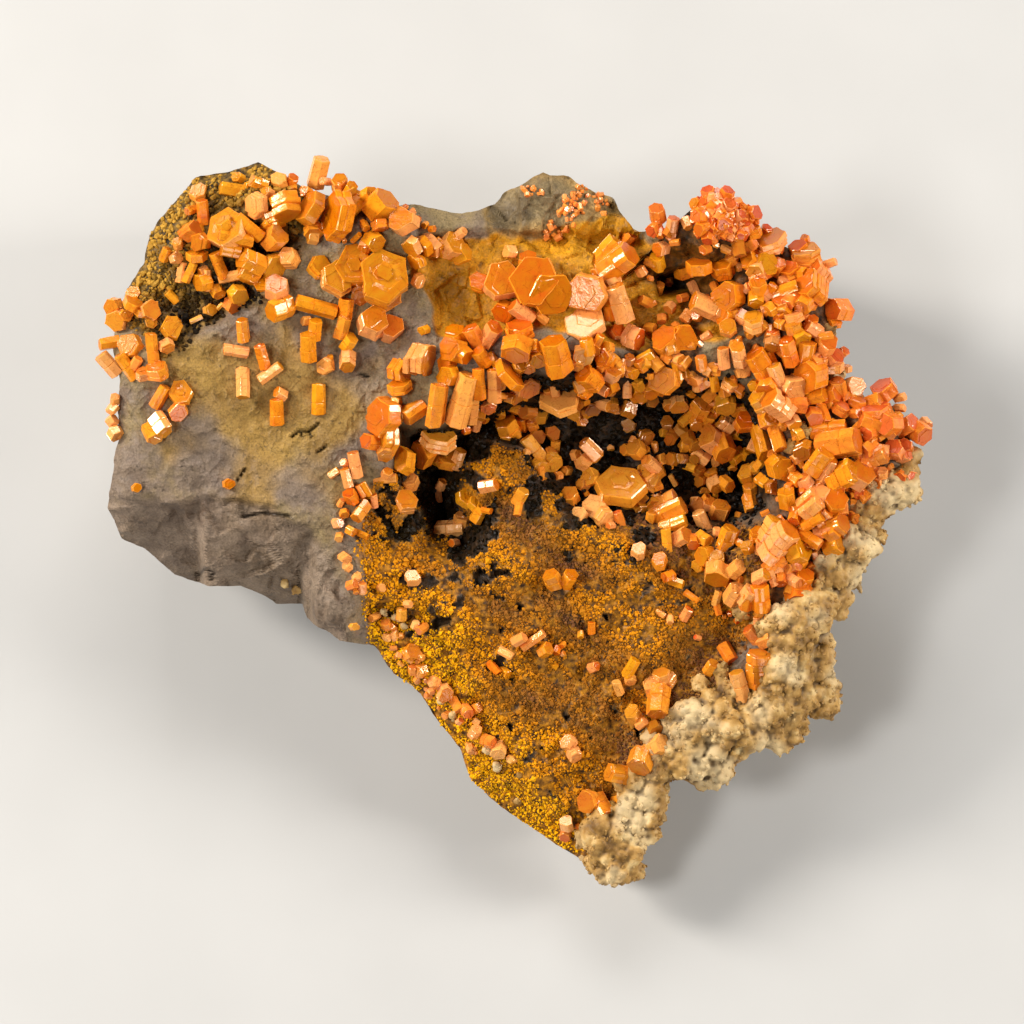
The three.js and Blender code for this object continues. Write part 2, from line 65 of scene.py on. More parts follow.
# The rock's edge, and the parts of its face, as (column, row) corners.
ROCK_EDGE = (
    (118, 380), (118, 440), (111, 482), (106, 509), (120, 540), (147, 551), (173, 575), (207, 587),
    (239, 587), (276, 603), (302, 604), (307, 619), (340, 640), (374, 645), (393, 674), (420, 694),
    (442, 727), (460, 748), (470, 782), (503, 810), (556, 846), (589, 866), (612, 866), (630, 840),
    (640, 790), (660, 765), (720, 755), (760, 735), (795, 715), (808, 680), (808, 640), (815, 600),
    (825, 570), (845, 545), (862, 515), (885, 485), (905, 470), (912, 440), (895, 405), (860, 395),
    (838, 370), (835, 340), (832, 310), (822, 280), (800, 255), (765, 235), (745, 210), (715, 195),
    (695, 205), (675, 225), (650, 232), (634, 232), (613, 197), (571, 177), (543, 172), (503, 191),
    (495, 203), (462, 214), (411, 205), (360, 205), (300, 185), (259, 162), (233, 171), (196, 177),
    (174, 201), (149, 234), (143, 262), (125, 291), (115, 315), (112, 345),
)
DARK_CORNER = (
    (100, 300), (131, 270), (149, 225), (190, 165), (259, 150), (300, 185), (310, 235), (262, 285),
    (243, 309), (176, 344), (150, 345), (118, 330),
)
STAINED_LEDGE = ((420, 235), (640, 235), (735, 270), (725, 335), (640, 345), (540, 330), (440, 330))
TOP_KNOB = ((485, 205), (503, 180), (543, 160), (613, 185), (640, 245), (560, 255), (495, 240))
VUG = (
    (395, 425), (440, 430), (480, 410), (520, 398), (600, 392), (690, 388), (745, 402), (765, 450),
    (762, 505), (735, 535), (650, 528), (575, 512), (545, 482), (520, 452), (488, 440), (470, 455),
    (452, 485), (470, 520), (462, 545), (432, 540), (415, 490),
)
SMALL_CAVITY = ((655, 275), (690, 268), (692, 290), (660, 294))
OCHRE_SLOPE = (
    (370, 480), (430, 470), (470, 440), (500, 440), (540, 480), (575, 512), (650, 528), (735, 560),
    (745, 640), (700, 680), (640, 720), (610, 880), (540, 850), (440, 740), (380, 660), (365, 590),
)
OCHRE_RIM = (
    (360, 600), (440, 620), (480, 700), (530, 790), (590, 850), (560, 880), (430, 760), (350, 650),
)
LEFT_RIDGE = ((100, 511), (198, 499))
MIDDLE_RIDGE = ((200, 503), (310, 524))
LOWER_RIDGE = ((223, 566), (300, 556))
SLOPE_TOP_ROW = 600
RIGHT_FALL_COLUMN = 640

# Mounds under heaps of crystals: (column, row, reach, height).
MOUNDS = (
    (138, 342, 9, 1.2), (235, 245, 13, 2.6), (285, 202, 8, 1.6), (385, 222, 12, 2.0),
    (430, 420, 12, 1.6), (475, 360, 9, 1.8), (545, 290, 14, 2.2), (560, 362, 12, 2.4),
    (740, 330, 11, 1.6), (722, 214, 8, 3.4), (664, 228, 4, 1.6), (808, 310, 11, 2.0),
    (785, 412, 9, 1.2), (892, 424, 8, 1.8), (830, 462, 10, 1.4), (824, 518, 8, 1.6),
)

# Patches of colour on the rock, as (column, row) corners.
GREY_PATCHES = (
    ((640, 285), (685, 288), (682, 335), (640, 345)),
    ((700, 325), (770, 330), (775, 405), (700, 405)),
    ((490, 195), (560, 175), (600, 200), (560, 225), (500, 225)),
)
OLIVE_PATCH = (
    (172, 352), (215, 342), (300, 325), (352, 372), (382, 420), (335, 468), (290, 476), (258, 512),
    (232, 498), (214, 452), (186, 425),
)
BROKEN_FACETS = ((100, 500), (200, 495), (310, 520), (360, 600), (350, 660), (240, 620), (100, 560))
CRYSTAL_FIELD = (
    (640, 250), (700, 200), (760, 215), (830, 270), (850, 360), (915, 420), (900, 480), (830, 600),
    (770, 640), (720, 620), (740, 560), (770, 500), (760, 420), (690, 385), (640, 350),
)
# Where the ochre grains grow: up to the hollow's edge, and over the rim.
GRAIN_SLOPE = (
    (366, 492), (410, 452), (470, 430), (510, 436), (560, 476), (610, 500), (680, 512), (765, 520),
    (772, 575), (752, 645), (716, 690), (660, 730), (626, 880), (540, 860), (430, 745), (372, 665),
    (360, 590),
)
# The dark ground of the hollow, which reaches on under the crystals at its right, and up over its upper wall
# and lip as painted shade.
DARK_GROUND = (
    (395, 425), (440, 424), (470, 388), (515, 366), (600, 358), (690, 362), (750, 386), (775, 450),
    (770, 512), (735, 532), (650, 526), (575, 510), (545, 480), (520, 452), (488, 440), (470, 455),
    (452, 485), (470, 520), (462, 545), (432, 540), (415, 490),
)
# The brown stain on the ledge, which leaves the knob's lower edge uneven.
LEDGE_STAIN = (
    (415, 262), (470, 246), (505, 238), (545, 238), (575, 222), (610, 212), (638, 230), (735, 266),
    (728, 335), (650, 346), (560, 336), (500, 338), (440, 332), (424, 300),
)
VUG_LIP = (
    (470, 384), (520, 356), (600, 350), (690, 354), (742, 382), (738, 420), (680, 410), (600, 412),
    (530, 416), (480, 424),
)
VUG_FLOOR = (
    (556, 440), (640, 432), (740, 424), (766, 460), (758, 512), (700, 526), (640, 512), (580, 500),
)
OUTER_BAND = (
    (735, 215), (775, 226), (834, 262), (848, 330), (840, 375), (905, 400), (925, 430), (908, 480),
    (850, 520), (800, 600), (765, 612), (780, 520), (800, 420), (770, 330), (745, 270),
)
RED_DOME = (
    (692, 215), (697, 198), (712, 188), (735, 189), (755, 203), (760, 222), (742, 238), (712, 240),
)
KNOB_CRUMBS = ((512, 186), (548, 172), (600, 182), (618, 205), (590, 232), (545, 240), (540, 205))
RIM_CRUMBS = (
    (368, 600), (402, 604), (412, 640), (452, 690), (486, 726), (510, 770), (486, 776), (444, 716),
    (396, 660),
)

# Crystals by cluster: (column, row, width over corners, length, lean, heading, rise, marks).
# Lean is the angle between the axis and the line of sight; heading is the way the near end points.
# Marks: r red, y yellow, p pale, b browned (staining and painted shade), s stacked plates, h hollow-ended;
# twice is stronger.
CRYSTALS = {
    "left_edge_cluster": (
        (150, 309, 3.8, 1.6, 20, 15), (133, 304, 3.6, 1.3, 65, 65), (117, 320, 3.9, 2, 25, 200),
        (171, 328, 4.2, 1.8, 20, 60), (132, 346, 4.5, 2.4, 40, 160, -2.2), (110, 343, 2.1, 3.4, 75, 190),
        (152, 348, 2.3, 4.5, 75, 95), (167, 346, 2.7, 1.6, 40, 300), (109, 364, 2.3, 4, 75, 132),
        (127, 367, 2.2, 4.4, 80, 125), (158, 371, 4.2, 1.8, 60, 110),
        (133, 294, 2.6, 1.6, 30, 100, 0, "y"), (126, 315, 2.4, 1.2, 15, 0, 1.2),
        (136, 363, 1.8, 2, 60, 60), (115, 399, 1.8, 1.4, 40, 90, 0, "rp"),
        (112, 409, 2.0, 1.4, 58, 233, 0, "rp"), (112, 421, 1.9, 1.4, 58, 43, 0, "rp"),
        (115, 433, 2.6, 1.6, 58, 302, 0, "rp"),
    ),
    "left_pair": (
        (160, 397, 2.4, 3.7, 75, 60), (160, 425, 3.4, 3.2, 60, 305),
        (181, 394, 4.3, 1.5, 20, 100, 0, "h"), (179, 412, 3.6, 1.4, 25, 280),
    ),
    "slab_prisms": (
        (243, 330, 2.4, 3.5, 65, 95), (236, 351, 2, 3.8, 80, 172), (243, 383, 2.4, 4.6, 72, 270),
        (263, 357, 2.2, 3.8, 72, 105), (270, 373, 1.8, 4, 80, 35), (277, 412, 2.3, 4, 75, 92),
        (319, 399, 2.2, 4.6, 80, 90), (281, 394, 1.9, 1.8, 60, 150), (229, 484, 2, 1.2, 15, 0),
        (137, 488, 1.6, 1, 20, 0), (424, 330, 1.8, 1.4, 40, 200, 0, "y"),
    ),
    "upper_left_cluster": (
        (190, 231, 3, 2.6, 50, 30), (200, 243, 3.7, 1.5, 30, 200), (197, 256, 3.5, 1.3, 65, 95),
        (228, 229, 7.2, 2.2, 40, 135, 0, "h"), (249, 228, 2.1, 5, 80, 140, 1.2),
        (236, 239, 2.5, 5.2, 78, 168, 1.6), (231, 250, 2.4, 3, 75, 170, 1),
        (252, 262, 4, 3.8, 58, 155, 1), (274, 266, 4.6, 1.8, 35, 330), (274, 238, 4.2, 3.2, 40, 40, 0.5),
        (289, 258, 3.9, 2.2, 28, 140, 0, "p"), (219, 266, 2.1, 4.2, 75, 112),
        (230, 277, 2.1, 3.4, 70, 10), (203, 282, 3.2, 2, 58, 195), (238, 295, 3.4, 1.9, 38, 310),
        (190, 272, 1.8, 3.5, 78, 65), (207, 280, 1.7, 3.3, 76, 90), (172, 297, 1.4, 2.2, 80, 135, 0, "y"),
        (210, 310, 2.1, 1.4, 20, 0, 0, "y"), (220, 306, 0.8, 1.4, 85, 45, 0, "y"),
        (196, 319, 1, 2, 85, 25, 0, "y"), (191, 210, 1.7, 1.8, 50, 200), (178, 244, 1.9, 1.5, 35, 100),
        (165, 254, 1.7, 2.2, 60, 70), (176, 258, 2.2, 1.5, 30, 20, 0, "p"),
        (224, 224, 3, 1.6, 60, 120, 1.5), (181, 272, 1.5, 3.2, 80, 80), (217, 291, 2.4, 2, 50, 300),
        (240, 302, 1.2, 1, 40, 214),
    ),
    "upper_row": (
        (232, 190, 2.2, 3.7, 80, 170), (198, 192, 3.1, 1.6, 35, 100), (203, 212, 2, 3.8, 68, 95),
        (257, 205, 4.7, 1.6, 46, 190, 0, "p"), (285, 206, 5.6, 3.4, 64, 285, 0, "s"),
        (311, 208, 6.1, 2, 65, 150), (314, 230, 3.4, 1.6, 50, 275), (317, 172, 3, 4.7, 66, 75, -1.5, "p"),
        (259, 183, 2.4, 2.6, 60, 160), (279, 181, 2.7, 2, 32, 110, 0, "p"), (239, 178, 1.9, 1.8, 40, 150),
        (249, 184, 1.2, 1.4, 60, 200), (292, 181, 2.1, 1.9, 50, 60, 0, "r"),
        (293, 187, 1.5, 1.2, 49, 282), (306, 192, 2, 1.6, 38, 150),
        (325, 181, 1.5, 1.8, 40, 172, 0, "rp"), (268, 194, 2, 1.6, 50, 150),
    ),
    "middle_left_prisms": (
        (277, 289, 4.6, 2.2, 35, 95), (280, 308, 3.8, 3.8, 57, 200), (316, 307, 2.6, 6.4, 78, 165),
        (308, 347, 3, 4.3, 66, 92), (315, 330, 2.4, 3.2, 66, 82), (346, 309, 2.4, 3.2, 70, 82),
        (343, 328, 2.4, 3.4, 70, 75), (374, 323, 5.2, 3.3, 27, 60), (349, 343, 2.6, 2.4, 55, 55),
        (347, 361, 3, 2.7, 50, 270), (325, 366, 3.1, 1.5, 30, 200, 0, "p"),
        (306, 321, 1.6, 1.3, 58, 183, 0, "p"), (330, 363, 1.2, 2.5, 75, 90),
    ),
    "rosette": (
        (336, 280, 6.2, 2.6, 18, 40, 0, "s"), (384, 275, 9.6, 2.6, 14, 75, 0.5, "h"),
        (384, 291, 7.4, 1.6, 20, 280), (381, 275, 2.7, 1.6, 15, 60, 1.6),
        (418, 281, 2.4, 1.2, 40, 330, 0, "p"),
    ),
    "top_band": (
        (338, 217, 8.8, 2.5, 66, 171), (351, 203, 5.4, 2.5, 48, 40, 0.5), (339, 184, 3.2, 2.2, 47, 95),
        (381, 207, 4.7, 3.9, 55, 45), (374, 241, 3.5, 2.1, 40, 320), (403, 222, 5.1, 2.4, 35, 140),
        (413, 248, 4, 1.4, 62, 225), (422, 246, 4.6, 1.4, 62, 225), (430, 246, 4.6, 1.4, 62, 225),
        (438, 247, 4.2, 1.4, 62, 225), (451, 244, 4.2, 2.6, 45, 30), (350, 190, 2.6, 2, 50, 60),
        (350, 217, 1.2, 3, 85, 90, 1.6), (344, 239, 0.9, 1.8, 37, 287), (356, 238, 1.1, 2.2, 43, 42),
        (365, 226, 1.3, 2, 35, 297), (366, 246, 2.4, 1.6, 50, 250, 0, "r"),
        (380, 226, 2.8, 1.4, 70, 280, 0, "r"), (396, 208, 1.2, 1, 38, 332, 0, "r"),
        (405, 208, 1.2, 1, 40, 71, 0, "r"), (412, 212, 1.2, 1, 56, 216, 0, "r"),
        (418, 220, 1.2, 1, 39, 58, 0, "r"), (425, 225, 1.2, 1, 35, 220, 0, "r"),
        (432, 229, 1.2, 1, 51, 5, 0, "r"), (461, 233, 1.8, 1.5, 58, 32, 0, "rp"),
    ),
    "centre_left_cluster": (
        (420, 360, 7, 3, 64, 345, 0, "s"), (399, 387, 4, 1.5, 66, 100), (383, 415, 7, 2.4, 50, 180),
        (371, 441, 2.8, 2.2, 42, 175), (385, 453, 2.9, 1.5, 48, 275), (414, 412, 3.2, 3.6, 70, 215),
        (437, 405, 3.3, 6.4, 70, 82), (462, 400, 3.7, 8.3, 71, 74, -0.3),
        (439, 440, 6.3, 2.2, 61, 80, 0.5, "s"), (422, 453, 4.6, 2.3, 46, 210),
        (403, 461, 4.2, 2.3, 40, 155), (458, 459, 2.3, 3.2, 62, 70), (396, 413, 3.2, 2, 50, 0),
        (381, 445, 1.7, 1.6, 53, 236), (445, 453, 1.1, 1, 35, 356, 0, "r"), (438, 459, 2.6, 1.6, 45, 330),
    ),
    "centre_upper_cluster": (
        (456, 335, 3.8, 2.2, 48, 110), (454, 351, 4.8, 2.4, 48, 165), (463, 353, 3.2, 2.5, 57, 320, 0.8),
        (448, 376, 3.8, 1.8, 42, 190), (474, 336, 3, 3.2, 62, 120), (490, 335, 3.4, 3.6, 55, 60, 0.4),
        (482, 358, 2.7, 3, 58, 125, 0.6), (480, 384, 2.3, 4.8, 70, 93, 1),
        (494, 386, 2.2, 5.2, 72, 92, 1), (488, 405, 2.7, 1.9, 42, 285), (507, 429, 4.3, 3.4, 54, 108),
        (477, 424, 1.6, 2.2, 60, 70, 0, "r"), (485, 419, 1.5, 1.2, 35, 218, 0, "r"),
        (466, 430, 1.5, 1.2, 58, 196, 0, "r"),
    ),
    "centre_plates": (
        (503, 282, 7, 2.4, 15, 85, 0.8), (533, 283, 9, 2.6, 12, 85, 1.2), (551, 292, 7.5, 2.1, 16, 330),
        (504, 311, 4.4, 1.7, 40, 218), (522, 312, 2.7, 3.9, 69, 145, 1.5),
        (585, 292, 7.3, 2, 19, 200, 0.5), (585, 322, 7.4, 1.8, 35, 100, 0, "p"),
        (617, 264, 4.6, 5.6, 66, 35), (620, 303, 3.2, 5.8, 69, 108, 0.4), (633, 338, 4, 2.6, 60, 340),
        (618, 332, 2.7, 1.6, 30, 60), (627, 239, 2.4, 2.8, 60, 50), (510, 252, 2.2, 1.7, 50, 174, 0, "p"),
        (528, 260, 3.5, 1.6, 50, 95), (541, 318, 1.5, 2.2, 75, 140), (598, 272, 1.8, 1.8, 50, 200),
        (613, 282, 2.8, 1.4, 70, 300, 0, "p"),
    ),
    "centre_fan": (
        (518, 331, 5.5, 2.2, 61, 95, 0.8, "s"), (517, 350, 5, 2.8, 51, 255, 1.2),
        (556, 357, 4.6, 5.6, 62, 105, -0.2), (509, 375, 6, 1.4, 70, 40, 0.5),
        (528, 387, 4.5, 1.7, 43, 300), (587, 347, 2.4, 2.6, 66, 100, 0.8), (582, 355, 3.8, 1.6, 32, 265),
        (605, 359, 3.4, 2.1, 35, 165), (589, 378, 4, 3.4, 50, 140, 1, "s"), (613, 374, 3.2, 2, 42, 60),
        (611, 387, 2.7, 2, 45, 210), (560, 399, 7.2, 1.5, 47, 97, 1.2, "p"), (664, 379, 5.1, 2, 25, 180),
        (640, 391, 3.3, 2.9, 45, 280), (537, 359, 3.2, 1.8, 40, 290),
        (629, 360, 1.9, 1.4, 47, 79, 0, "b"), (646, 357, 2, 2.6, 75, 30), (641, 364, 2.2, 2.2, 50, 120),
        (632, 373, 2, 1.6, 46, 333), (627, 388, 1.6, 3, 80, 90), (600, 388, 1.8, 3, 65, 330),
        (597, 343, 1.6, 3, 60, 60),
    ),
    "vug_left_cluster": (
        (536, 451, 2.4, 5.4, 74, 128, 0, "y"), (551, 463, 3.7, 1.8, 47, 310, 0, "y"),
        (591, 449, 2.4, 3.4, 68, 135), (593, 407, 2.9, 1.7, 35, 280, 0, "b"),
        (575, 412, 2.9, 1.4, 45, 250), (621, 484, 8.1, 2.2, 38, 92, 0, "yh"),
        (591, 477, 3.3, 1.6, 43, 172), (652, 483, 3.5, 1.6, 35, 350),
        (594, 510, 4.8, 1.9, 25, 115, 0, "pp"), (571, 496, 3.1, 2.1, 40, 110),
        (637, 449, 3.4, 2, 37, 140), (652, 464, 2.6, 2.7, 55, 140), (646, 436, 2.8, 1.7, 35, 320, 0, "b"),
        (629, 426, 2.8, 1.5, 20, 160, 0, "b"), (582, 420, 2.2, 1.2, 25, 0),
        (612, 404, 2.4, 1.9, 41, 280, 0, "b"), (628, 408, 3, 2.3, 59, 164, 0, "b"),
        (653, 400, 2.2, 1.4, 15, 0, 0, "b"), (584, 461, 2.5, 1.8, 40, 40, 0, "rp"),
        (659, 470, 2.4, 1.9, 37, 119), (655, 503, 2.9, 2, 40, 276), (567, 470, 1.9, 1.5, 36, 187),
        (558, 476, 1.6, 1.3, 39, 190, 0, "r"), (541, 473, 1.2, 2.2, 80, 90, 0, "r"),
        (537, 436, 2.6, 1.6, 20, 0, 0, "rb"), (553, 433, 2.4, 1.6, 15, 0, 0, "rb"),
        (556, 448, 1.8, 2.4, 70, 85), (533, 424, 2, 1.6, 54, 111, 0, "r"),
        (541, 414, 2.8, 1.8, 35, 80, 0, "b"), (528, 410, 2.8, 2.2, 44, 178, 0, "rb"),
        (520, 497, 2, 2.8, 58, 60, 0, "y"), (518, 509, 1.4, 2.2, 70, 260, 0, "r"),
        (527, 452, 1.1, 1, 51, 161, 0, "rp"), (627, 449, 2, 1.4, 50, 180), (656, 448, 1.2, 2.2, 60, 100),
        (662, 460, 2.2, 1.6, 45, 30), (641, 508, 2.6, 1.4, 50, 300), (624, 503, 3.4, 1.2, 50, 270),
        (605, 517, 3.6, 1.8, 35, 320, 0, "rp"), (620, 519, 1.8, 2.6, 65, 110, 0, "r"),
        (611, 526, 1.4, 1.2, 48, 183, 0, "r"), (549, 455, 2, 2.2, 50, 60),
    ),
    "right_of_centre": (
        (665, 341, 4.8, 2.4, 40, 130), (684, 338, 5.3, 2.4, 17, 0), (700, 266, 4.6, 1.8, 65, 95),
        (722, 268, 4.2, 2.6, 45, 110), (729, 298, 5.2, 3, 31, 180), (710, 308, 3.6, 5.8, 73, 156),
        (728, 328, 3.1, 1.5, 20, 100, 0, "y"), (723, 358, 2.3, 3.3, 68, 95), (739, 355, 3, 3.4, 50, 100),
        (761, 364, 3.4, 4.4, 63, 122, 0.5), (778, 378, 2.8, 4.6, 65, 110),
        (793, 388, 4.6, 2.6, 35, 330, 0, "p"), (766, 386, 3.6, 2.4, 45, 250),
        (754, 322, 3.9, 2.1, 50, 97, 0, "y"), (759, 289, 3, 2.8, 50, 95), (755, 299, 3, 2, 50, 270),
        (765, 265, 4.6, 2.4, 25, 30, 0, "y"), (751, 262, 3.2, 2.4, 50, 150),
        (772, 341, 2.8, 2.6, 48, 270, 0, "b"), (658, 262, 2.6, 2.4, 50, 100, 0, "y"),
        (661, 248, 2.4, 2, 45, 200), (742, 371, 2.9, 1.4, 15, 0, 0, "p"), (677, 370, 1.5, 3.2, 80, 105),
        (688, 375, 1.1, 1.6, 85, 55), (697, 379, 1.6, 3.8, 75, 92), (714, 382, 1.8, 2.8, 60, 100),
        (730, 384, 2.6, 1.6, 40, 60, 0, "y"), (741, 393, 1.4, 1.2, 48, 72, 0, "y"),
        (757, 271, 3.4, 2, 40, 240, 0, "y"), (769, 292, 2, 3, 65, 60), (770, 309, 2.8, 1.2, 70, 215),
        (784, 311, 2.8, 1.4, 55, 260),
    ),
    "red_dome": (
        (709, 193, 2.4, 2, 50, 110, 0, "rr"), (726, 194, 2.6, 2, 55, 70, 0, "rr"),
        (697, 204, 2.2, 1.7, 50, 150, 0, "y"), (700, 217, 2.7, 2, 45, 170),
        (728, 207, 2.6, 2, 40, 60, 0, "rr"), (752, 213, 2.9, 2.2, 50, 10, 0, "rr"),
        (702, 229, 2.4, 2, 45, 200), (708, 238, 2.3, 1.6, 55, 260, 0, "rr"),
        (723, 223, 2.3, 1.6, 30, 280, 0, "rr"), (738, 216, 1.9, 1.9, 50, 30, 0, "rr"),
        (738, 245, 2.3, 3.7, 70, 280, 0, "rb"), (746, 228, 2.2, 1.4, 60, 100, 0, "rr"),
        (766, 230, 1.9, 1.6, 50, 60, 0, "rr"), (712, 202, 1.3, 2.8, 70, 95, 0, "p"),
        (728, 217, 0.9, 1.9, 75, 130, 0, "r"), (697, 234, 0.9, 1.4, 60, 300, 0, "r"),
        (715, 228, 1.6, 1.2, 50, 30, 0, "r"), (716, 245, 1, 0.9, 58, 161, 0, "p"),
        (727, 249, 1.3, 1.9, 70, 330, 0, "p"), (734, 253, 1.2, 1.9, 70, 310, 0, "p"),
        (757, 230, 1.2, 1.2, 50, 40, 0, "r"), (661, 233, 1.2, 1.7, 60, 260, 0, "r"),
    ),
    "top_bud": (
        (658, 214, 3, 2.6, 45, 100, 0, "r"), (672, 228, 2.6, 3.4, 60, 80, 0, "r"),
        (655, 229, 2.6, 2, 50, 220, 0, "r"),
    ),
    "right_plates": (
        (771, 242, 6.6, 2.2, 62, 110, 0, "s"), (800, 248, 3.4, 1.8, 55, 110),
        (807, 254, 5.4, 2.2, 60, 100, 0, "s"), (801, 274, 2.8, 2.4, 50, 350),
        (785, 291, 2.4, 4.4, 75, 20), (790, 270, 3.4, 2, 40, 120), (812, 289, 5.8, 4, 50, 140, 0, "s"),
        (803, 305, 3.6, 2, 45, 230), (839, 310, 4.2, 3.4, 40, 180, 0, "r"), (794, 328, 3, 2.8, 45, 110),
        (801, 337, 3.4, 1.7, 50, 300, 0, "y"), (783, 305, 3.2, 2.4, 55, 110),
        (789, 351, 3.6, 4.2, 60, 105), (806, 354, 2.9, 4, 62, 80), (827, 345, 3.6, 2.4, 40, 60),
        (833, 357, 3.4, 2, 50, 40, 0, "r"), (834, 366, 3.8, 1.4, 65, 90, 0, "p"),
        (811, 376, 5, 3.2, 40, 200), (830, 263, 1.6, 2.4, 65, 20, 0, "p"), (813, 264, 1.4, 1.4, 44, 111),
        (822, 268, 1.4, 1.6, 50, 40), (817, 273, 2, 1.4, 40, 300, 0, "r"),
        (783, 281, 1.8, 1.4, 39, 70, 0, "rp"), (794, 317, 3.2, 1.4, 65, 100, 0, "p"),
        (812, 321, 2, 1.6, 40, 60), (818, 330, 1.6, 1.6, 39, 208), (772, 333, 2.6, 1, 60, 90),
        (843, 353, 1.8, 1.8, 50, 40, 0, "r"), (817, 357, 2, 1.6, 50, 330),
    ),
    "right_middle_cluster": (
        (778, 406, 4.2, 4.6, 60, 140, 0, "s"), (746, 420, 4.1, 2.4, 18, 60),
        (764, 441, 3.5, 5.2, 62, 285), (778, 437, 2.6, 4.2, 68, 285), (793, 421, 2.6, 2.2, 50, 300),
        (812, 398, 2.6, 4.4, 70, 15), (831, 395, 3, 2.8, 55, 20, 0, "r"),
        (855, 387, 3.6, 2, 30, 20, 0, "p"), (769, 417, 3.4, 1.5, 40, 0),
        (825, 413, 1.6, 3, 70, 290, 0, "r"), (810, 415, 1.4, 1.2, 40, 125, 0, "p"),
        (821, 421, 2.2, 1.2, 60, 280), (818, 427, 1.8, 1.4, 49, 57, 0, "p"), (833, 424, 1.8, 1.2, 50, 40),
        (798, 434, 2.6, 1.2, 65, 210), (736, 435, 1.6, 2.8, 75, 350),
        (727, 426, 1.8, 1.2, 40, 90, 0, "y"), (747, 454, 1.8, 1.8, 50, 60),
        (738, 456, 2.4, 2.6, 60, 220, 0, "y"),
    ),
    "right_edge_cluster": (
        (884, 391, 4.6, 2.2, 60, 120, -0.5, "r"), (876, 401, 3, 2.5, 55, 20, 0, "r"),
        (876, 411, 4.6, 1.4, 68, 100, 0, "r"), (889, 424, 4.6, 3, 35, 180, 0, "r"),
        (906, 426, 3.4, 3.4, 55, 30, 0, "r"), (921, 433, 3.6, 2.6, 45, 320, 0, "r"),
        (870, 433, 2.8, 2, 40, 200, 0, "r"), (869, 449, 2.8, 2.5, 55, 220, 0, "r"),
        (895, 450, 3.4, 2.4, 30, 120, 0, "r"), (905, 456, 2.6, 2, 50, 20, 0, "r"),
        (900, 477, 3.4, 2.4, 30, 240, 0, "r"), (911, 478, 2.6, 2, 40, 0, 0, "r"),
        (901, 397, 1.6, 1.8, 60, 10, 0, "p"), (901, 408, 1.4, 1.8, 60, 0, 0, "p"),
        (857, 402, 3.4, 1.2, 65, 80, 0, "y"), (882, 474, 2.2, 1.8, 40, 90, 0, "rp"),
        (858, 491, 2.2, 1.6, 40, 300, 0, "r"),
    ),
    "right_blocks": (
        (838, 443, 4.8, 6.4, 68, 10), (819, 462, 3.2, 4.4, 60, 55), (803, 451, 3.4, 2.2, 35, 250, 0, "b"),
        (843, 476, 4.6, 4.6, 60, 25, 0.5, "s"), (860, 474, 5.6, 2.6, 50, 40),
        (779, 468, 4.8, 2.8, 28, 330, -0.4, "y"), (797, 479, 2.2, 2, 50, 320),
        (764, 481, 2.2, 2.2, 50, 320, 0, "y"), (773, 487, 2.4, 1.6, 30, 0, 0, "b"),
        (803, 492, 1.6, 1.2, 54, 277, 0, "rb"),
    ),
    "lower_right_fan": (
        (834, 502, 5, 2.6, 30, 60), (812, 508, 3.2, 3.6, 62, 40, 0.5, "p"), (813, 520, 2.4, 3.6, 65, 30),
        (818, 494, 4.6, 1.2, 50, 100, 0, "p"), (834, 526, 4.4, 3.4, 60, 25, 0, "s"),
        (834, 545, 4, 2.6, 60, 20), (795, 516, 2.4, 2.4, 50, 250, 0, "r"), (788, 498, 3, 3, 50, 100),
    ),
    "lower_right_prisms": (
        (809, 538, 2.2, 4.4, 75, 325), (778, 544, 4.8, 6, 66, 50, 0.8, "s"), (798, 551, 4.8, 2.4, 60, 20),
        (791, 556, 3.6, 1.6, 55, 200), (758, 535, 2.8, 1.8, 50, 90), (748, 548, 2.4, 1.8, 35, 120),
        (727, 540, 3.2, 4.2, 65, 70), (741, 543, 1.4, 1.8, 70, 330), (769, 536, 1.6, 2.6, 70, 60),
        (760, 547, 1.8, 2.2, 65, 80), (772, 576, 1.4, 3.2, 75, 110),
        (743, 613, 1.8, 1.4, 54, 234, 0, "r"), (815, 582, 1.4, 1.2, 40, 139, 0, "r"),
        (810, 589, 1.2, 1, 35, 203, 0, "r"), (757, 622, 1.2, 1.8, 60, 90), (769, 623, 1.8, 2.4, 60, 80),
        (779, 612, 1.6, 1.2, 57, 253, 0, "r"),
    ),
    "lower_right_discs": (
        (705, 556, 3.4, 2.2, 35, 190, 0, "y"), (717, 561, 3.2, 2, 40, 80, 0, "y"),
        (716, 574, 5, 2.4, 58, 265, 0.4, "y"), (728, 578, 3, 2, 50, 330),
        (736, 569, 2.6, 2.4, 50, 40, 0, "p"), (735, 594, 3.6, 3.2, 45, 60, 0, "p"),
        (747, 601, 2.2, 3, 60, 80), (761, 598, 2.9, 4.4, 65, 95, -0.8), (761, 577, 2.6, 2.6, 50, 30),
    ),
    "red_pair": (
        (803, 580, 3.2, 2.8, 45, 60, 0, "r"), (798, 596, 5, 2, 62, 275, 0, "r"),
    ),
    "vug_lower_cluster": (
        (669, 512, 3.4, 5.4, 68, 25, 0.5), (674, 524, 2.4, 4.2, 70, 20),
        (667, 541, 1.9, 3.8, 78, 95, 0, "y"), (682, 538, 2.8, 2.6, 50, 30, 0, "r"),
        (705, 524, 2.4, 4.2, 70, 115, 0, "p"), (704, 539, 2.4, 2.4, 50, 330),
        (720, 511, 3.2, 2.6, 50, 70), (696, 505, 2.8, 1.6, 30, 30, 0, "p"), (657, 502, 2.6, 2.2, 45, 330),
        (651, 520, 1.6, 2.6, 65, 80), (693, 542, 2.2, 1.8, 40, 280, 0, "r"),
        (718, 534, 1.6, 2, 60, 90, 0, "rp"),
    ),
    "vug_right_cluster": (
        (712, 437, 5.4, 3.4, 45, 150), (724, 448, 4.6, 3, 55, 290, 0.5), (679, 402, 3.2, 2.4, 45, 280),
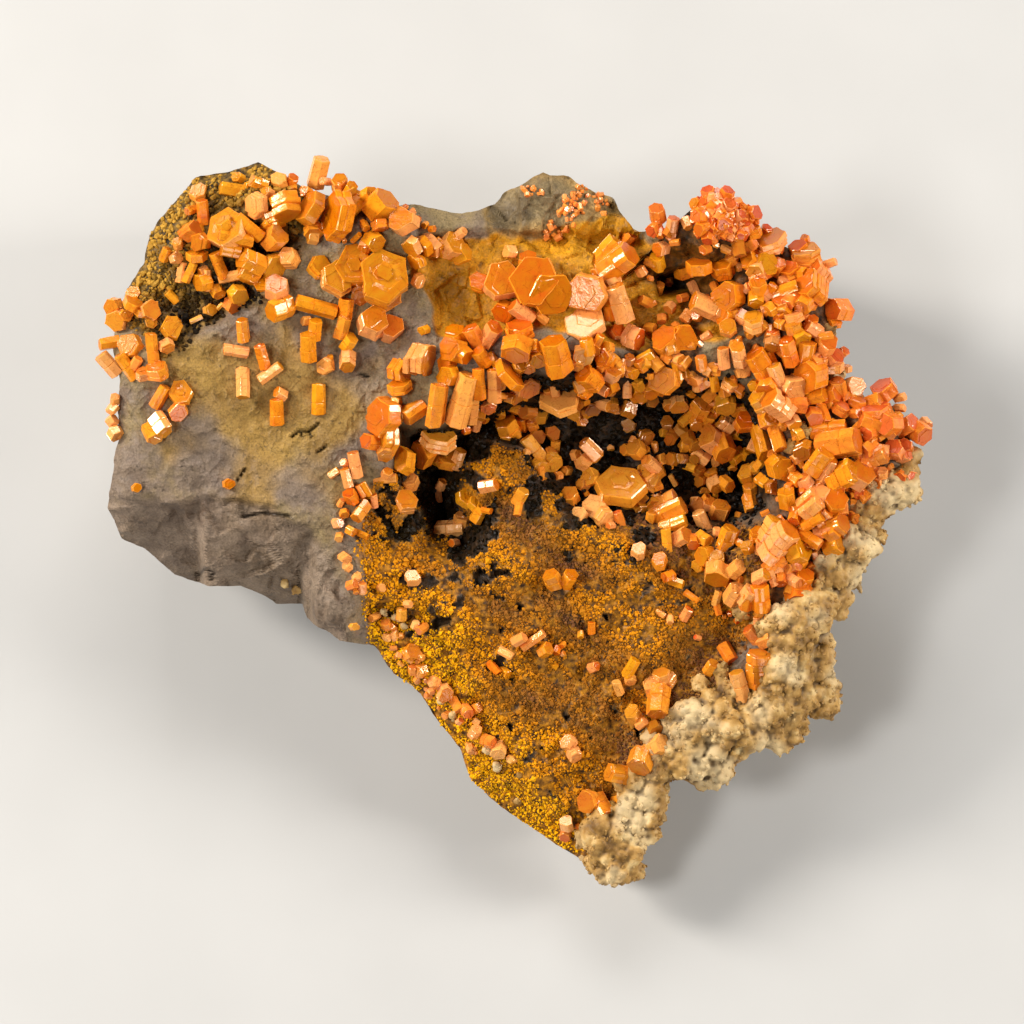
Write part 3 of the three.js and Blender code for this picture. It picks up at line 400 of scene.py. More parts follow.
        (703, 406, 3.9, 2.6, 35, 60), (689, 417, 1.8, 3.4, 70, 225), (727, 402, 4, 2.6, 52, 278),
        (748, 475, 3.2, 2.4, 35, 120, 0, "y"), (752, 491, 2.6, 2.2, 55, 100),
        (752, 503, 2.4, 2.8, 60, 280), (716, 484, 2.6, 2, 45, 300), (727, 484, 2.5, 2.2, 45, 320),
        (712, 474, 2.4, 2, 45, 100), (668, 423, 2.4, 1.8, 25, 90, 0, "b"),
        (673, 437, 2.6, 1.8, 40, 230, 0, "b"), (689, 437, 2.3, 1.7, 50, 30, 0, "b"),
        (697, 423, 2.4, 1.6, 45, 280), (682, 429, 2.2, 1.4, 45, 60, 0, "yb"),
        (696, 444, 2, 1.4, 40, 300, 0, "b"), (684, 446, 1.6, 1.2, 42, 346, 0, "b"),
        (673, 458, 2.3, 1.4, 40, 180, 0, "b"), (682, 458, 2, 1.6, 30, 180, 0, "b"),
        (694, 459, 1.9, 1.4, 15, 0, 0, "yb"), (690, 466, 1.6, 2.4, 70, 340),
        (700, 470, 2, 1.6, 40, 60, 0, "b"), (702, 481, 2, 1.4, 35, 200, 0, "b"),
        (705, 492, 2, 1.2, 15, 0, 0, "b"), (717, 494, 1.2, 1, 56, 85, 0, "b"),
        (674, 480, 1, 2, 75, 120, 0, "p"), (717, 461, 1.8, 1.2, 41, 244, 0, "pb"),
    ),
    "crust_crystals": (
        (759, 670, 4.6, 5.6, 62, 90, 0, "s"), (740, 687, 3, 5, 70, 105, 0, "y"),
        (767, 639, 3.2, 2.6, 50, 20), (753, 635, 2.2, 2.8, 65, 130, 0, "r"),
        (728, 653, 2.2, 3.2, 68, 300, 0, "r"), (711, 668, 2.4, 2.4, 45, 60),
        (655, 686, 4.2, 1.8, 45, 110, 0, "p"), (658, 701, 3.6, 4.6, 62, 265, 0.6),
        (662, 676, 3, 1.6, 55, 100, 0, "y"), (678, 714, 2.8, 2.6, 50, 50),
        (634, 715, 3, 2.4, 40, 120, 0, "y"), (656, 747, 4.4, 3.4, 45, 30, 0, "p"),
        (641, 761, 4.2, 3, 50, 250, 0.4), (618, 775, 3.6, 3.6, 55, 170), (602, 806, 3, 3.8, 65, 300, 0.5),
        (588, 803, 3.8, 1.6, 40, 190), (617, 808, 2.6, 2.8, 55, 260),
        (642, 724, 1.6, 1.8, 50, 40, 0, "p"), (655, 729, 2.6, 1.6, 45, 300, 0, "b"),
        (705, 720, 3, 1.4, 60, 240, 0, "y"), (640, 806, 3.8, 1.6, 30, 270, 0, "b"),
        (623, 828, 1.2, 2.6, 70, 80, 0, "b"), (590, 841, 1.6, 1.8, 35, 267, 0, "r"),
        (567, 825, 2.4, 1.8, 36, 102, 0, "yp"), (566, 837, 2, 1.8, 40, 250, 0, "r"),
        (580, 829, 1.4, 1.2, 45, 313, 0, "r"),
    ),
    "slope_crystals": (
        (411, 483, 3, 1.8, 40, 100, 0, "p"), (406, 502, 4.3, 2.4, 25, 60, 0, "y"),
        (355, 465, 2.3, 4, 70, 100), (347, 478, 1.8, 3, 75, 105), (351, 497, 2.4, 2.2, 40, 120),
        (361, 511, 2.2, 3.2, 62, 235), (465, 497, 3.7, 1.8, 25, 40, 0, "y"), (488, 486, 2.2, 2.8, 65, 10),
        (479, 514, 2.2, 2.8, 62, 60), (451, 530, 3, 4.6, 68, 5, 0, "pp"),
        (461, 520, 3, 1.6, 55, 80, 0, "p"), (553, 580, 3, 2.8, 45, 120), (569, 580, 2.8, 2.6, 45, 60),
        (660, 561, 2.9, 1.8, 30, 100), (411, 653, 2.8, 1.8, 30, 30), (445, 694, 3, 1.8, 25, 300),
        (533, 641, 1.6, 4.2, 80, 35, 0, "p"), (638, 551, 2.8, 2, 30, 90, 0, "rp"),
        (668, 577, 2, 1.8, 45, 200, 0, "r"), (676, 582, 1.6, 2.6, 70, 340, 0, "y"),
        (692, 597, 1.2, 2.6, 80, 325, 0, "r"), (717, 598, 1.4, 2.4, 70, 75, 0, "p"),
        (718, 607, 1.2, 2.8, 75, 285, 0, "r"), (698, 638, 1, 1.2, 44, 164, 0, "r"),
        (737, 621, 0.9, 0.8, 51, 304, 0, "r"), (730, 614, 0.9, 0.8, 45, 108, 0, "r"),
        (661, 614, 1.2, 1.6, 70, 330, 0, "rp"), (670, 620, 1.2, 1.4, 45, 270, 0, "p"),
        (686, 614, 1.8, 2.2, 60, 60, 0, "r"), (594, 667, 1.8, 1.6, 45, 20, 0, "r"),
        (631, 668, 2, 3.2, 65, 60, 0, "y"), (630, 679, 2, 1.6, 50, 280, 0, "p"),
        (618, 688, 1.6, 2.4, 60, 110, 0, "yp"), (569, 743, 2.6, 1.8, 40, 150, 0, "rp"),
        (574, 755, 2.4, 1.8, 45, 300, 0, "rp"), (519, 640, 1.8, 2.2, 60, 30, 0, "rp"),
        (545, 650, 2.2, 2, 45, 30, 0, "y"), (506, 653, 1.5, 2.4, 80, 330, 0, "pp"),
        (494, 668, 1.5, 2.4, 75, 310, 0, "r"), (505, 673, 1.8, 1.8, 50, 320, 0, "y"),
        (557, 650, 1.2, 1.4, 56, 257, 0, "r"), (563, 645, 1.2, 0.8, 49, 238, 0, "r"),
        (563, 654, 0.8, 0.8, 44, 31, 0, "y"), (581, 635, 1.2, 1.2, 53, 266, 0, "y"),
        (592, 628, 1.4, 2, 65, 90, 0, "r"), (413, 578, 2.6, 1.6, 35, 95, 0, "p"),
        (334, 473, 1.2, 1.8, 75, 35), (345, 463, 1.4, 1.2, 35, 146, 0, "p"),
        (341, 503, 1.2, 1.4, 48, 62, 0, "p"), (361, 491, 1, 2.2, 70, 120), (366, 489, 1.2, 2.4, 70, 120),
        (374, 501, 1.4, 2.2, 65, 95, 0, "r"), (344, 514, 1.6, 1, 37, 282, 0, "y"),
        (338, 523, 1.8, 1.4, 39, 9, 0, "r"), (351, 531, 1.8, 1.4, 60, 330), (361, 534, 1.2, 2.4, 75, 335),
        (339, 537, 1.6, 1.2, 37, 258, 0, "yp"), (385, 479, 1.6, 3.6, 78, 5, 0, "y"),
        (387, 473, 1.8, 1.4, 36, 58), (438, 494, 1.3, 2.6, 75, 95, 0, "r"), (441, 484, 1.8, 1.6, 55, 60),
        (487, 510, 1.2, 1.8, 46, 347), (454, 543, 1.4, 1.6, 37, 185, 0, "r"),
    ),
    "rim_crystals": (
        (345, 558, 2, 1.6, 35, 321, 0, "rp"), (347, 567, 1.6, 1.3, 36, 136, 0, "p"),
        (357, 577, 1.6, 1.2, 41, 56, 0, "p"), (352, 585, 1.8, 1.6, 50, 20, 0, "r"),
        (362, 588, 1.5, 1.8, 60, 90, 0, "r"), (356, 591, 1, 0.9, 58, 283),
        (381, 588, 1.5, 1.2, 20, 0, 0, "p"), (354, 627, 1.6, 1.3, 25, 0),
        (401, 614, 1.8, 1.8, 58, 89, 0, "y"), (408, 604, 1.4, 1.2, 54, 356, 0, "p"),
        (374, 617, 1.4, 1.8, 42, 203, 0, "y"), (386, 625, 1.8, 1.4, 43, 111),
        (395, 635, 1.4, 1.2, 45, 20, 0, "y"), (422, 629, 1.6, 2, 46, 215, 0, "r"),
        (415, 625, 1.4, 1.2, 55, 70, 0, "pp"), (387, 638, 1.4, 1.2, 36, 343, 0, "pp"),
        (413, 670, 1.8, 1.4, 49, 93, 0, "r"), (421, 671, 2.2, 1.6, 53, 198),
        (434, 682, 2, 1.4, 47, 168, 0, "rp"), (431, 692, 1.2, 1, 38, 305, 0, "rp"),
        (456, 705, 1.8, 2.4, 65, 300), (466, 712, 2.4, 1.8, 43, 310, 0, "r"),
        (477, 709, 1.8, 1.4, 36, 20, 0, "y"), (459, 722, 1.2, 1, 47, 43, 0, "r"),
        (475, 733, 2.4, 1.8, 40, 60, 0, "rp"), (488, 742, 2.2, 2, 59, 342, 0, "r"),
        (471, 750, 1.8, 1.2, 48, 291, 0, "rp"), (499, 751, 2.6, 2.4, 37, 256, 0, "yp"),
        (512, 760, 1.6, 1.4, 46, 192, 0, "yp"),
    ),
}

# What each cluster leans to, in hue (below zero redder), paleness and browning.
PLAIN_TINT = (0, 0, 0)
CLUSTER_TINTS = {
    "red_dome": (-0.14, 0.04, 0.0), "right_plates": (-0.15, 0.02, 0.0), "red_pair": (-0.16, 0.0, 0.0),
    "right_edge_cluster": (-0.24, 0.08, 0.0), "top_bud": (-0.14, 0.1, 0.0),
    # The hollow's clusters are tinted yellower and paler as painted light, since they stand in the hollow's
    # shade.
    "vug_left_cluster": (0.10, 0.10, 0.0), "vug_right_cluster": (0.10, 0.06, 0.0),
    "vug_lower_cluster": (0.02, 0.05, 0.0), "rosette": (0.06, 0.0, 0.12), "centre_plates": (-0.10, 0.0, 0.0),
    "rim_crystals": (-0.04, 0.15, 0.0), "crust_crystals": (0.0, 0.05, 0.05),
    "upper_left_cluster": (0.12, 0.03, 0.0), "upper_row": (0.08, 0.03, 0.0), "slab_prisms": (0.08, 0.0, 0.0),
    "left_edge_cluster": (0.12, 0.05, 0.0), "left_pair": (0.06, 0.04, 0.0),
    "middle_left_prisms": (0.10, 0.0, 0.0), "centre_left_cluster": (0.06, 0.03, 0.0),
    "top_band": (0.06, 0.0, 0.0),
}
# Small crystals that fill gaps: name to (outline, spacing, widths, tint, chance, clump size, overhang).
DRUSES = {
    "field_druse": (CRYSTAL_FIELD, 2.2, (0.9, 2.1), (-0.10, 0.10, 0.10), 0.7, 0, -0.3),
    "outer_band_druse": (OUTER_BAND, 2.5, (1.5, 3.1), (-0.27, 0.08, 0.0), 0.7, 0, -0.3),
    # The hollow's lip and floor druses are tinted yellower and paler as painted light.
    "vug_lip_druse": (VUG_LIP, 2.0, (1.2, 2.6), (0.06, 0.05, 0.0), 0.75, 0, -0.3),
    "vug_floor_druse": (VUG_FLOOR, 2.3, (1.0, 2.3), (0.10, 0.08, 0.0), 0.5, 0, -0.3),
    "dome_druse": (RED_DOME, 0.66, (0.8, 1.7), (-0.52, 0.05, 0.0), 1.0, 0, 0.9),
    "knob_crumbs": (KNOB_CRUMBS, 0.75, (0.4, 1.1), (-0.36, 0.26, 0.0), 0.9, 3.2, -0.3),
    "rim_crumbs": (RIM_CRUMBS, 1.2, (0.4, 1.4), (-0.10, 0.30, 0.0), 0.9, 2.4, -0.3),
}
DRUSE_SEED = 7919
DRUSE_STUBBINESS = (0.5, 1.3)
DRUSE_LEANS = (30, 88)
DRUSE_SINK = 0.1
CLUMP_LEVEL, CLUMP_OCTAVES, CLUMP_SALT = 0.15, 2, 91

# How a crystal grows: shares of its width or length, and widths, edges and steps in millimetres.
SIDE_TURNS = np.radians(30 + 60 * np.arange(6))
ANY_TURN = 6.3
WORN_LOBES = (1, 2, 3)
CORNER_CUT = 0.05
SIDE_SPREAD = (-0.16, 0.12)
WORN_POINTS = 36
WORN_WIDTH = 2.2
WORN_GROWTH = 1.09
BODY_WEAR = (0.02, 0.10)
END_WEAR = (0.10, 0.12)
PLATE_CHIP = 0.06
PLATED_WIDTH = 1.9
PLATE_CHANCE = 0.2
PLATE_CHANCE_PER_MM = 0.12
STACKED_PLATES = 2
PLATE_SHIFT = 0.3
EDGE_SHARE, EDGE_LEAST, EDGE_MOST = 0.03, 0.06, 0.14
PLATE_OUT = 0.01
PLAIN_UNEVEN, STACKED_UNEVEN = 0.05, 0.16
PLAIN_SLIP, STACKED_SLIP = 0.008, 0.022
STEPPED_WIDTH = 1.7
END_STEP = (0.05, 0.14)
RAISED_ENDS, SUNK_ENDS = 0.6, 0.75
RAISED_PLATE, SUNK_PLATE = (0.40, 0.95), (0.30, 0.85)
HOLLOW_RIM, HOLLOW_FLOOR, HOLLOW_BUD = (0.60, 0.84), (0.46, 0.60), (0.26, 0.44)
# The rings of a hollow end: (ring, share of its size, height as a share of the length, end face).
HOLLOW_END = ((0, 1, 0, 1), (1, 1, -0.10, 0.9), (2, 1, -0.08, 0.95), (2, 0.9, 0.05, 1))
END_TILT = 0.06
MOST_TAPER = 0.10
SPIN_BY_COLUMN, SPIN_BY_ROW, SPIN_TURN = 7, 13, 60
COMPANION_SHARE = 0.55
COMPANION_WIDTH = 3.1
COMPANION_SIZES = (0.5, 0.85)
COMPANION_LENGTH = 1.2
COMPANION_SINK = 0.12
COMPANION_SWING, COMPANION_TURN = 25, 9

# What a crystal's marks and chance do to its colour.
CRYSTAL_VALUES = ("cap", "hue", "pale", "brown", "frosted")
USUAL_HUE, HUE_SPREAD = 0.62, 0.13
YELLOW_STEP, RED_STEP, PALE_STEP, BROWN_STEP = 0.22, 0.24, 0.4, 0.5
PALE_SPREAD, BROWN_SPREAD = 0.05, 0.08
# A crystal's chance, between these two, sets the painted peach sheen on its sides.
SHEEN_FROM, SHEEN_TO = 0.55, 0.95
ROOT_REDNESS = 0.16

# The crust's lumps: (column, row, diameter), and its one spike: (column, row, width, length).
CRUST_LUMPS = (
    (902, 487, 5.5), (884, 495, 6.0), (866, 512, 6.5), (854, 540, 8.0), (836, 566, 8.0), (828, 600, 7.0),
    (806, 612, 8.0), (788, 630, 8.0), (808, 656, 9.5), (784, 666, 8.5), (808, 692, 9.0), (780, 700, 9.5),
    (778, 724, 9.0), (750, 722, 9.0), (724, 730, 9.0), (712, 758, 9.0), (690, 752, 8.5), (692, 722, 7.0),
    (664, 758, 7.5), (646, 790, 8.0), (634, 822, 8.5), (608, 834, 7.5), (618, 856, 9.0),
)
CALCITE_BITS = (
    (914, 456, 3.2), (911, 470, 2.8), (805, 432, 2.0), (790, 447, 1.8), (829, 331, 2.2), (838, 374, 2.4),
    (742, 612, 2.4), (762, 628, 3.0), (772, 612, 2.6), (712, 700, 4.0), (728, 690, 3.6), (700, 684, 2.6),
    (720, 672, 2.4), (670, 726, 3.6), (650, 738, 2.6), (628, 792, 3.0), (600, 818, 3.6), (584, 838, 3.0),
    (598, 846, 3.4), (497, 768, 1.3), (486, 752, 1.1), (520, 776, 1.0), (404, 626, 1.0), (395, 618, 1.0),
    (440, 702, 1.0), (452, 716, 1.0), (383, 612, 1.0), (518, 802, 1.0), (296, 590, 1.4), (284, 584, 1.2),
)
CRUST_SPIKE = (855, 576, 3.2, 5.4)
SPIKE_WAY = (0.42, -0.9, 0.1)
SPIKE_STEPS = 8
SPIKE_TAPER, SPIKE_TIP, SPIKE_SINK = 0.85, 0.1, 1
LUMP_SQUASH = 0.85
LUMP_SEAT = 0.12
LUMP_CORE = 0.72
LUMP_UNEVEN = 0.04
LUMP_CUTS = 2
LUMP_SHOULDERS, BIT_SHOULDERS = 9, 3
SHOULDER_SIZES = (0.26, 0.44)
SHOULDER_HEIGHTS = (-0.35, 0.95)
SHOULDER_SEAT = 0.85
BEAD_SIZES = (0.42, 0.55, 0.8, 1.2, 1.7)
BEAD_SPREAD = (0.65, 1.3)
BEAD_SEAT = (-0.3, 0.35)
BEAD_COVER, BEAD_LEAST, BEADS_DOWN = 2.4, 5, 1.45
BEAD_MOST_SHARE, BEAD_MOST_EXTRA = 0.4, 0.2
TURN_JITTER = 0.3
CRUST_SEED = 4242
CRUST_VOXEL = 0.28
# The crust's recesses, found by easing its skin, are darkened as painted shade.
CRUST_EASING = 16
CRUST_SHADE = 3.2
GRIT_SIZES = ((0.7, 1), (0.33, 0.5))
GRIT_HEIGHT, GRIT_LEVEL, GRIT_SHADE = 0.06, 0.55, 0.25
FROST_PATCH = 5.5
CRUST_GRAINS = 2200
CRUST_GRAIN_SIZE, CRUST_GRAIN_SPREAD, CRUST_GRAIN_SEAT = 0.22, 0.4, 0.1
CRUST_GRAIN_SHADES = (0.2, 0.9)
LOWEST_FACING = -0.5

# Waves of the whole face, and what lies deeper or falls away on it.
WAVE_HEIGHT, WAVE_U, WAVE_V, WAVE_TURN = 0.5, 3.1, 3.7, 0.9
WAVE_BEND, WAVE_BEND_V = 1.4, 5.3
SWELL_HEIGHT, SWELL_U, SWELL_V = 0.35, 6.7, 4.9
SWELL_TURN, SWELL_TURN_STEP = 0.7, 1.9
# Deeper parts: (outline, depth, half width of the edge).
DEEPER_PARTS = (
    (DARK_CORNER, 1.8, 1.5), (STAINED_LEDGE, 2.4, 1.5), (TOP_KNOB, 3.2, 2), (OCHRE_SLOPE, 2.6, 3),
    (VUG, VUG_DEPTH, 4), (SMALL_CAVITY, 4, 1), (OCHRE_RIM, 1.8, 1.2),
)
# Broken facets that fall away below a ridge: (ridge, slope in degrees).
FALLING_FACETS = ((LEFT_RIDGE, 50), (MIDDLE_RIDGE, 24), (LOWER_RIDGE, 40))
RIDGE_START, RIDGE_END = (-0.05, 0.05), (0.97, 1.07)
LOWER_FALL, RIGHT_FALL = 0.15, 0.14

# Kinds of surface: name to (outline, start and end of the soft edge, how far the edge wanders).
SURFACES = {
    "corner": (DARK_CORNER, -0.8, 0.8, 1), "stain": (LEDGE_STAIN, -0.4, 0.4, 1.2),
    "vug": (DARK_GROUND, -1.2, 1.4, 1.3), "slope": (GRAIN_SLOPE, -0.8, 0.8, 1),
    "rim": (OCHRE_RIM, -3.0, 3.0, 2), "olive": (OLIVE_PATCH, -4.0, 4.0, 4.0),
    "broken": (BROKEN_FACETS, -1.0, 1.0, 1), "field": (CRYSTAL_FIELD, -1.5, 1.5, 1),
    "knob": (TOP_KNOB, -0.5, 0.5, 1),
}
# Each form of roughness, here and below, is (size, octaves, salt).
WANDER, WANDER_FORM = 1.1, (5, 3, 31)
GREY_EDGE = 1
CAVITY_EDGE = (-0.5, 0.8)
NEAR_VUG = (-17, -1)
PIT_LEVEL, PIT_EDGE, PIT_NEAR_VUG, PIT_FORM = 1.0, 0.08, 0.75, (2.6, 4, 97)
CRACKS = (
    ((292, 437), (300, 431), (309, 432), (318, 424)), ((300, 431), (303, 437)), ((309, 432), (312, 437)),
    ((361, 374), (368, 377)), ((197, 575), (203, 568), (212, 572), (210, 579)), ((318, 452), (326, 446)),
    ((238, 480), (245, 469)), ((243, 517), (262, 513), (290, 516)),
)
CRACK_WIDTHS = (0.05, 0.34)
SUNK_SURFACES = {"broken": 0.5, "vug": 0.5, "crack": 0.8}
FACET_STEP = 0.08
FACET_RISE = 0.6
CHIP_LEAN, CHIP_CROWN = 1.2, 0.8

# The rock's skin: cells across its face, rows down its sides, and how its sides are broken.
FACE_CELLS = 268
SIDE_ROWS = 20
SIDE_RUN = 36
EDGE_ROUGHNESS, EDGE_FORM = 0.30, (3.2, 4, 77)
EVEN_REACH = range(-22, 23)
EVEN_BY = 0.4
# Chips down the sides: (height, size, salt, slant).
SIDE_CHIPS = ((7.0, 13, 61, 0), (2.4, 5, 64, 0.4))
SIDE_GRIT, SIDE_GRIT_FORM = 0.4, (2.5, 2, 67)
SIDE_SET_IN, SIDE_FULLNESS = 0.6, 0.7
STAIN_FADE = 1.5
BROKEN_EDGE = math.radians(16)

# Grains: piece, material, outline, surface, spacing, size, colours, rim colour, roughness, grit and seed.
GRAINS = (
    ("ochre_grains", "goethite_grains", GRAIN_SLOPE, "slope", 0.36, 0.42, (
        (0.0, "#70482A"), (1.0, "#ECA806"), (0.25, "#9E6214"), (0.45, "#C47C0E"), (0.7, "#D8900A"),
    ), "#F4B80A", 0.8, 0.35, 11),
    ("corner_grains", "limonite_grains", DARK_CORNER, "corner", 0.55, 0.6, (
        (0.0, "#1A1208"), (1.0, "#B08430"), (0.4, "#443010"), (0.7, "#86601E"),
    ), "#A07A20", 0.55, 0.3, 13),
    ("vug_grains", "manganese_oxide_grains", VUG, "vug", 0.72, 0.75, (
        (0.0, "#120B04"), (1.0, "#54401A"), (0.6, "#1E1506"), (0.8, "#36260E"),
    ), "#120E08", 0.35, 0.3, 17),
)
GRAIN_MARGIN = 2
GRAIN_JITTER = 0.45
ROW_PITCH = 0.866
GRAIN_GAPS, GRAIN_GAP_FORM = (-0.7, -0.28), (1.5, 2, 83)
GRAIN_EDGE = 0.1
GRAIN_SPREAD = 0.33
GRAIN_SEAT = 0.15
GRAIN_UNEVEN, GRAIN_STRETCH = (0.72, 1.25), (0.75, 1.25)
SMALL_GRAIN = 0.55
CORNER_BAND, CORNER_STRENGTH = 11, 1.1
SLOPE_ZONE, ZONE_BY_U, ZONE_BY_V = 0.35, 0.015, 0.007
STREAK_TURN = math.radians(-28)
STREAK_STRETCH = 2.6
STREAK_STRENGTH, STREAK_FORM = 0.38, (5, 4, 71)
GOLDEN = (1 + math.sqrt(5)) / 2
GRAIN_POINTS = np.array(
    [(s, t * GOLDEN, 0) for s in (-1, 1) for t in (-1, 1)]
    + [(0, s, t * GOLDEN) for s in (-1, 1) for t in (-1, 1)]
    + [(t * GOLDEN, 0, s) for s in (-1, 1) for t in (-1, 1)]
) / math.hypot(1, GOLDEN)
SMALL_GRAIN_POINTS = np.array(
    [(1, 0, 0), (-1, 0, 0), (0, 1, 0), (0, -1, 0), (0, 0, 1), (0, 0, -1)], float)
SMALL_GRAIN_FACES = np.array(
    [(0, 2, 4), (2, 1, 4), (1, 3, 4), (3, 0, 4), (2, 0, 5), (1, 2, 5), (3, 1, 5), (0, 3, 5)])

# Colours of the materials. Sizes of their patterns are in millimetres.
VANADINITE_RAMP = (
    (0.0, "#BE160C"), (1.0, "#D09A0C"), (0.2, "#CE3606"), (0.4, "#CC5400"), (0.55, "#CA6600"),
    (0.75, "#CA7C00"),
)
# The second colour is painted sheen on the crystals' sides and painted highlight on their bevelled edges; the
# third is painted peach sheen on the sides of some.
END_ORANGE, SIDE_SHEEN_ORANGE, SHEEN_PEACH, PALE_PEACH = "#B44400", "#FF9E22", "#FFBC84", "#FFB868"
# The first colour browns crystals: partly staining, partly painted shade.
STAIN_AND_SHADE_BROWN, PIT_ORANGE, FLAW_RED, GLINT_TINT = "#7A4612", "#B84C06", "#8E2A04", "#FFE2CC"
HUE_DRIFT_SIZE, CRYSTAL_PIT_SIZE, FLAW_SIZE = 1.5, 0.35, 2.2
ROCK_RAMP = ((0.34, "#68584A"), (0.68, "#907A52"), (0.44, "#7C6A58"), (0.55, "#86724E"))
COOL_GREY, VEIN_BLACK, ROCK_PIT_BROWN = "#86766A", "#1E160E", "#2A1E12"
BROAD_SIZE, MOTTLE_SIZE, STONY_SIZE, SPECK_SIZE, DUST_SIZE, VEIN_SIZE = 16, 6, 3.2, 0.9, 0.30, 9
# Stains by surface: (dark colour, light colour, pattern, strength).
ROCK_STAINS = {
    "olive": ("#8A682C", "#A88238", "mottle", 0.8), "broken": ("#5E4C3E", "#94806C", "mottle", 0.85),
    "knob": ("#6A5430", "#B89250", "mottle", 0.8), "grey": ("#64543C", "#94805A", "mottle", 0.9),
    # The field's dark ground is the rock's own dark brown, made darker still as painted shade in the gaps
    # between crystals.
    "stain": ("#A06A06", "#D8940C", "mottle", 0.94), "field": ("#241404", "#6E4010", "speck", 0.9),
    "corner": ("#1A1208", "#8E6A28", "speck", 0.95), "slope": ("#4A2C0A", "#B8780E", "speck", 0.97),
    # The hollow's near-black is its dark lining, and painted shade where the dark ground reaches up over its
    # lip.
    "vug": ("#120B04", "#38240C", "speck", 1.0), "crack": ("#1A1410", "#241C14", "speck", 0.8),
}
STAIN_DARK, STAIN_LIGHT = 0.36, 0.66
CALCITE_RAMP = ((0.30, "#6E4C1A"), (0.72, "#DCBC80"), (0.42, "#9C7438"), (0.55, "#B88E4C"))
FROST_CREAM, SHADE_AND_GRAIN_BROWN = "#E4CC9C", "#4A320F"
CALCITE_MOTTLE, CALCITE_GRIT = 2.4, 0.7
PAPER_RAMP = ((0.3, "#B6B4B0"), (0.7, "#BAB8B4"))
PAPER_MOTTLE = 30

# The studio, in metres. Soft boxes: name, place, size, power, colour.
SOFT_BOXES = (
    ("left_box", (-0.72, 0.22, 0.46), (0.20, 0.32), 8.8, "#FFFAF4"),
    ("right_box", (0.76, 0.02, 0.34), (0.20, 0.32), 6.2, "#FFFCF8"),
    ("back_box", (0.0, 0.65, 0.55), (0.5, 0.25), 4.0, "#FFFFFF"),
    ("front_box", (0.1, -0.80, 0.35), (0.4, 0.25), 1.5, "#FFFFFF"),
    ("upper_fill", (-0.62, -0.30, 1.05), (0.3, 0.3), 7.0, "#FFFFFF"),
)
LIT_PLACE = (0, 0, 0.03)
SURROUND_COLOUR, SURROUND_STRENGTH = "#EEEAE4", 0.07
FLOOR_REACH = 3.0
CAMERA_DISTANCE = 2.0
SENSOR_WIDTH = 36
CAMERA_NEAR, CAMERA_FAR = 0.1, 20

GEOMETRY, ATTRIBUTE, NOISE = "ShaderNodeNewGeometry", "ShaderNodeAttribute", "ShaderNodeTexNoise"
MATH, MIX, RANGE, RAMP = "ShaderNodeMath", "ShaderNodeMix", "ShaderNodeMapRange", "ShaderNodeValToRGB"
BUMP, SURFACE, OUTPUT = "ShaderNodeBump", "ShaderNodeBsdfPrincipled", "ShaderNodeOutputMaterial"


def linear(code):
    """An sRGB hex colour as linear RGBA."""
    parts = [int(code[i:i + 2], 16) / 255 for i in (1, 3, 5)]
    return (*[p / 12.92 if p <= 0.04045 else ((p + 0.055) / 1.055) ** 2.4 for p in parts], 1)


def face(corners):
    """Columns and rows as u and v."""
    places = np.asarray(corners, float)
    return np.stack([places[..., 0] - VIEW_MIDDLE, VIEW_MIDDLE - places[..., 1]], -1) * MM_PER_STEP


def in_frame(u, v, d):
    """Places on the face as points of the part's own frame."""
    y = v * math.cos(FACE_TILT) - d * math.sin(FACE_TILT)
    z = v * math.sin(FACE_TILT) + d * math.cos(FACE_TILT) + FACE_HEIGHT
    return np.stack([u, y, z], -1)


def on_table(v):
    """How far the table lies behind the face at a place, along the line of sight."""
    return -(FACE_HEIGHT + v * math.sin(FACE_TILT)) / math.cos(FACE_TILT)


def smooth(low, high, x):
    t = np.clip((x - low) / (high - low), 0, 1)
    return t * t * (3 - 2 * t)


def from_line(start, end, u, v):
    """Distance from a straight line between two places."""
    (ax, ay), (bx, by) = start, end
    along = ((u - ax) * (bx - ax) + (v - ay) * (by - ay)) / ((bx - ax) ** 2 + (by - ay) ** 2)
    t = np.clip(along, 0, 1)
    return np.hypot(u - ax - t * (bx - ax), v - ay - t * (by - ay))


def inside_by(outline, u, v):
    """Distance to a closed outline: positive inside it."""
    corners = face(outline)
    nearest = np.full(np.shape(u), np.inf)
    inside = np.zeros(np.shape(u), bool)
    for (ax, ay), (bx, by) in zip(corners, np.roll(corners, -1, 0)):
        nearest = np.minimum(nearest, from_line((ax, ay), (bx, by), u, v))
        if ay != by:
            inside ^= ((ay > v) != (by > v)) & (u < ax + (v - ay) * (bx - ax) / (by - ay))
    return np.where(inside, nearest, -nearest)


def facet_below(ridge, slope, u, v):
    """A broken facet that falls away below a ridge line, between the ridge's two ends."""
    (ax, ay), (bx, by) = face(ridge)
    t = (u - ax) / (bx - ax)
    below = np.maximum(0, ay + t * (by - ay) - v)
    reach = smooth(*RIDGE_START, t) * (1 - smooth(*RIDGE_END, t))
    return -below * math.tan(math.radians(slope)) * reach


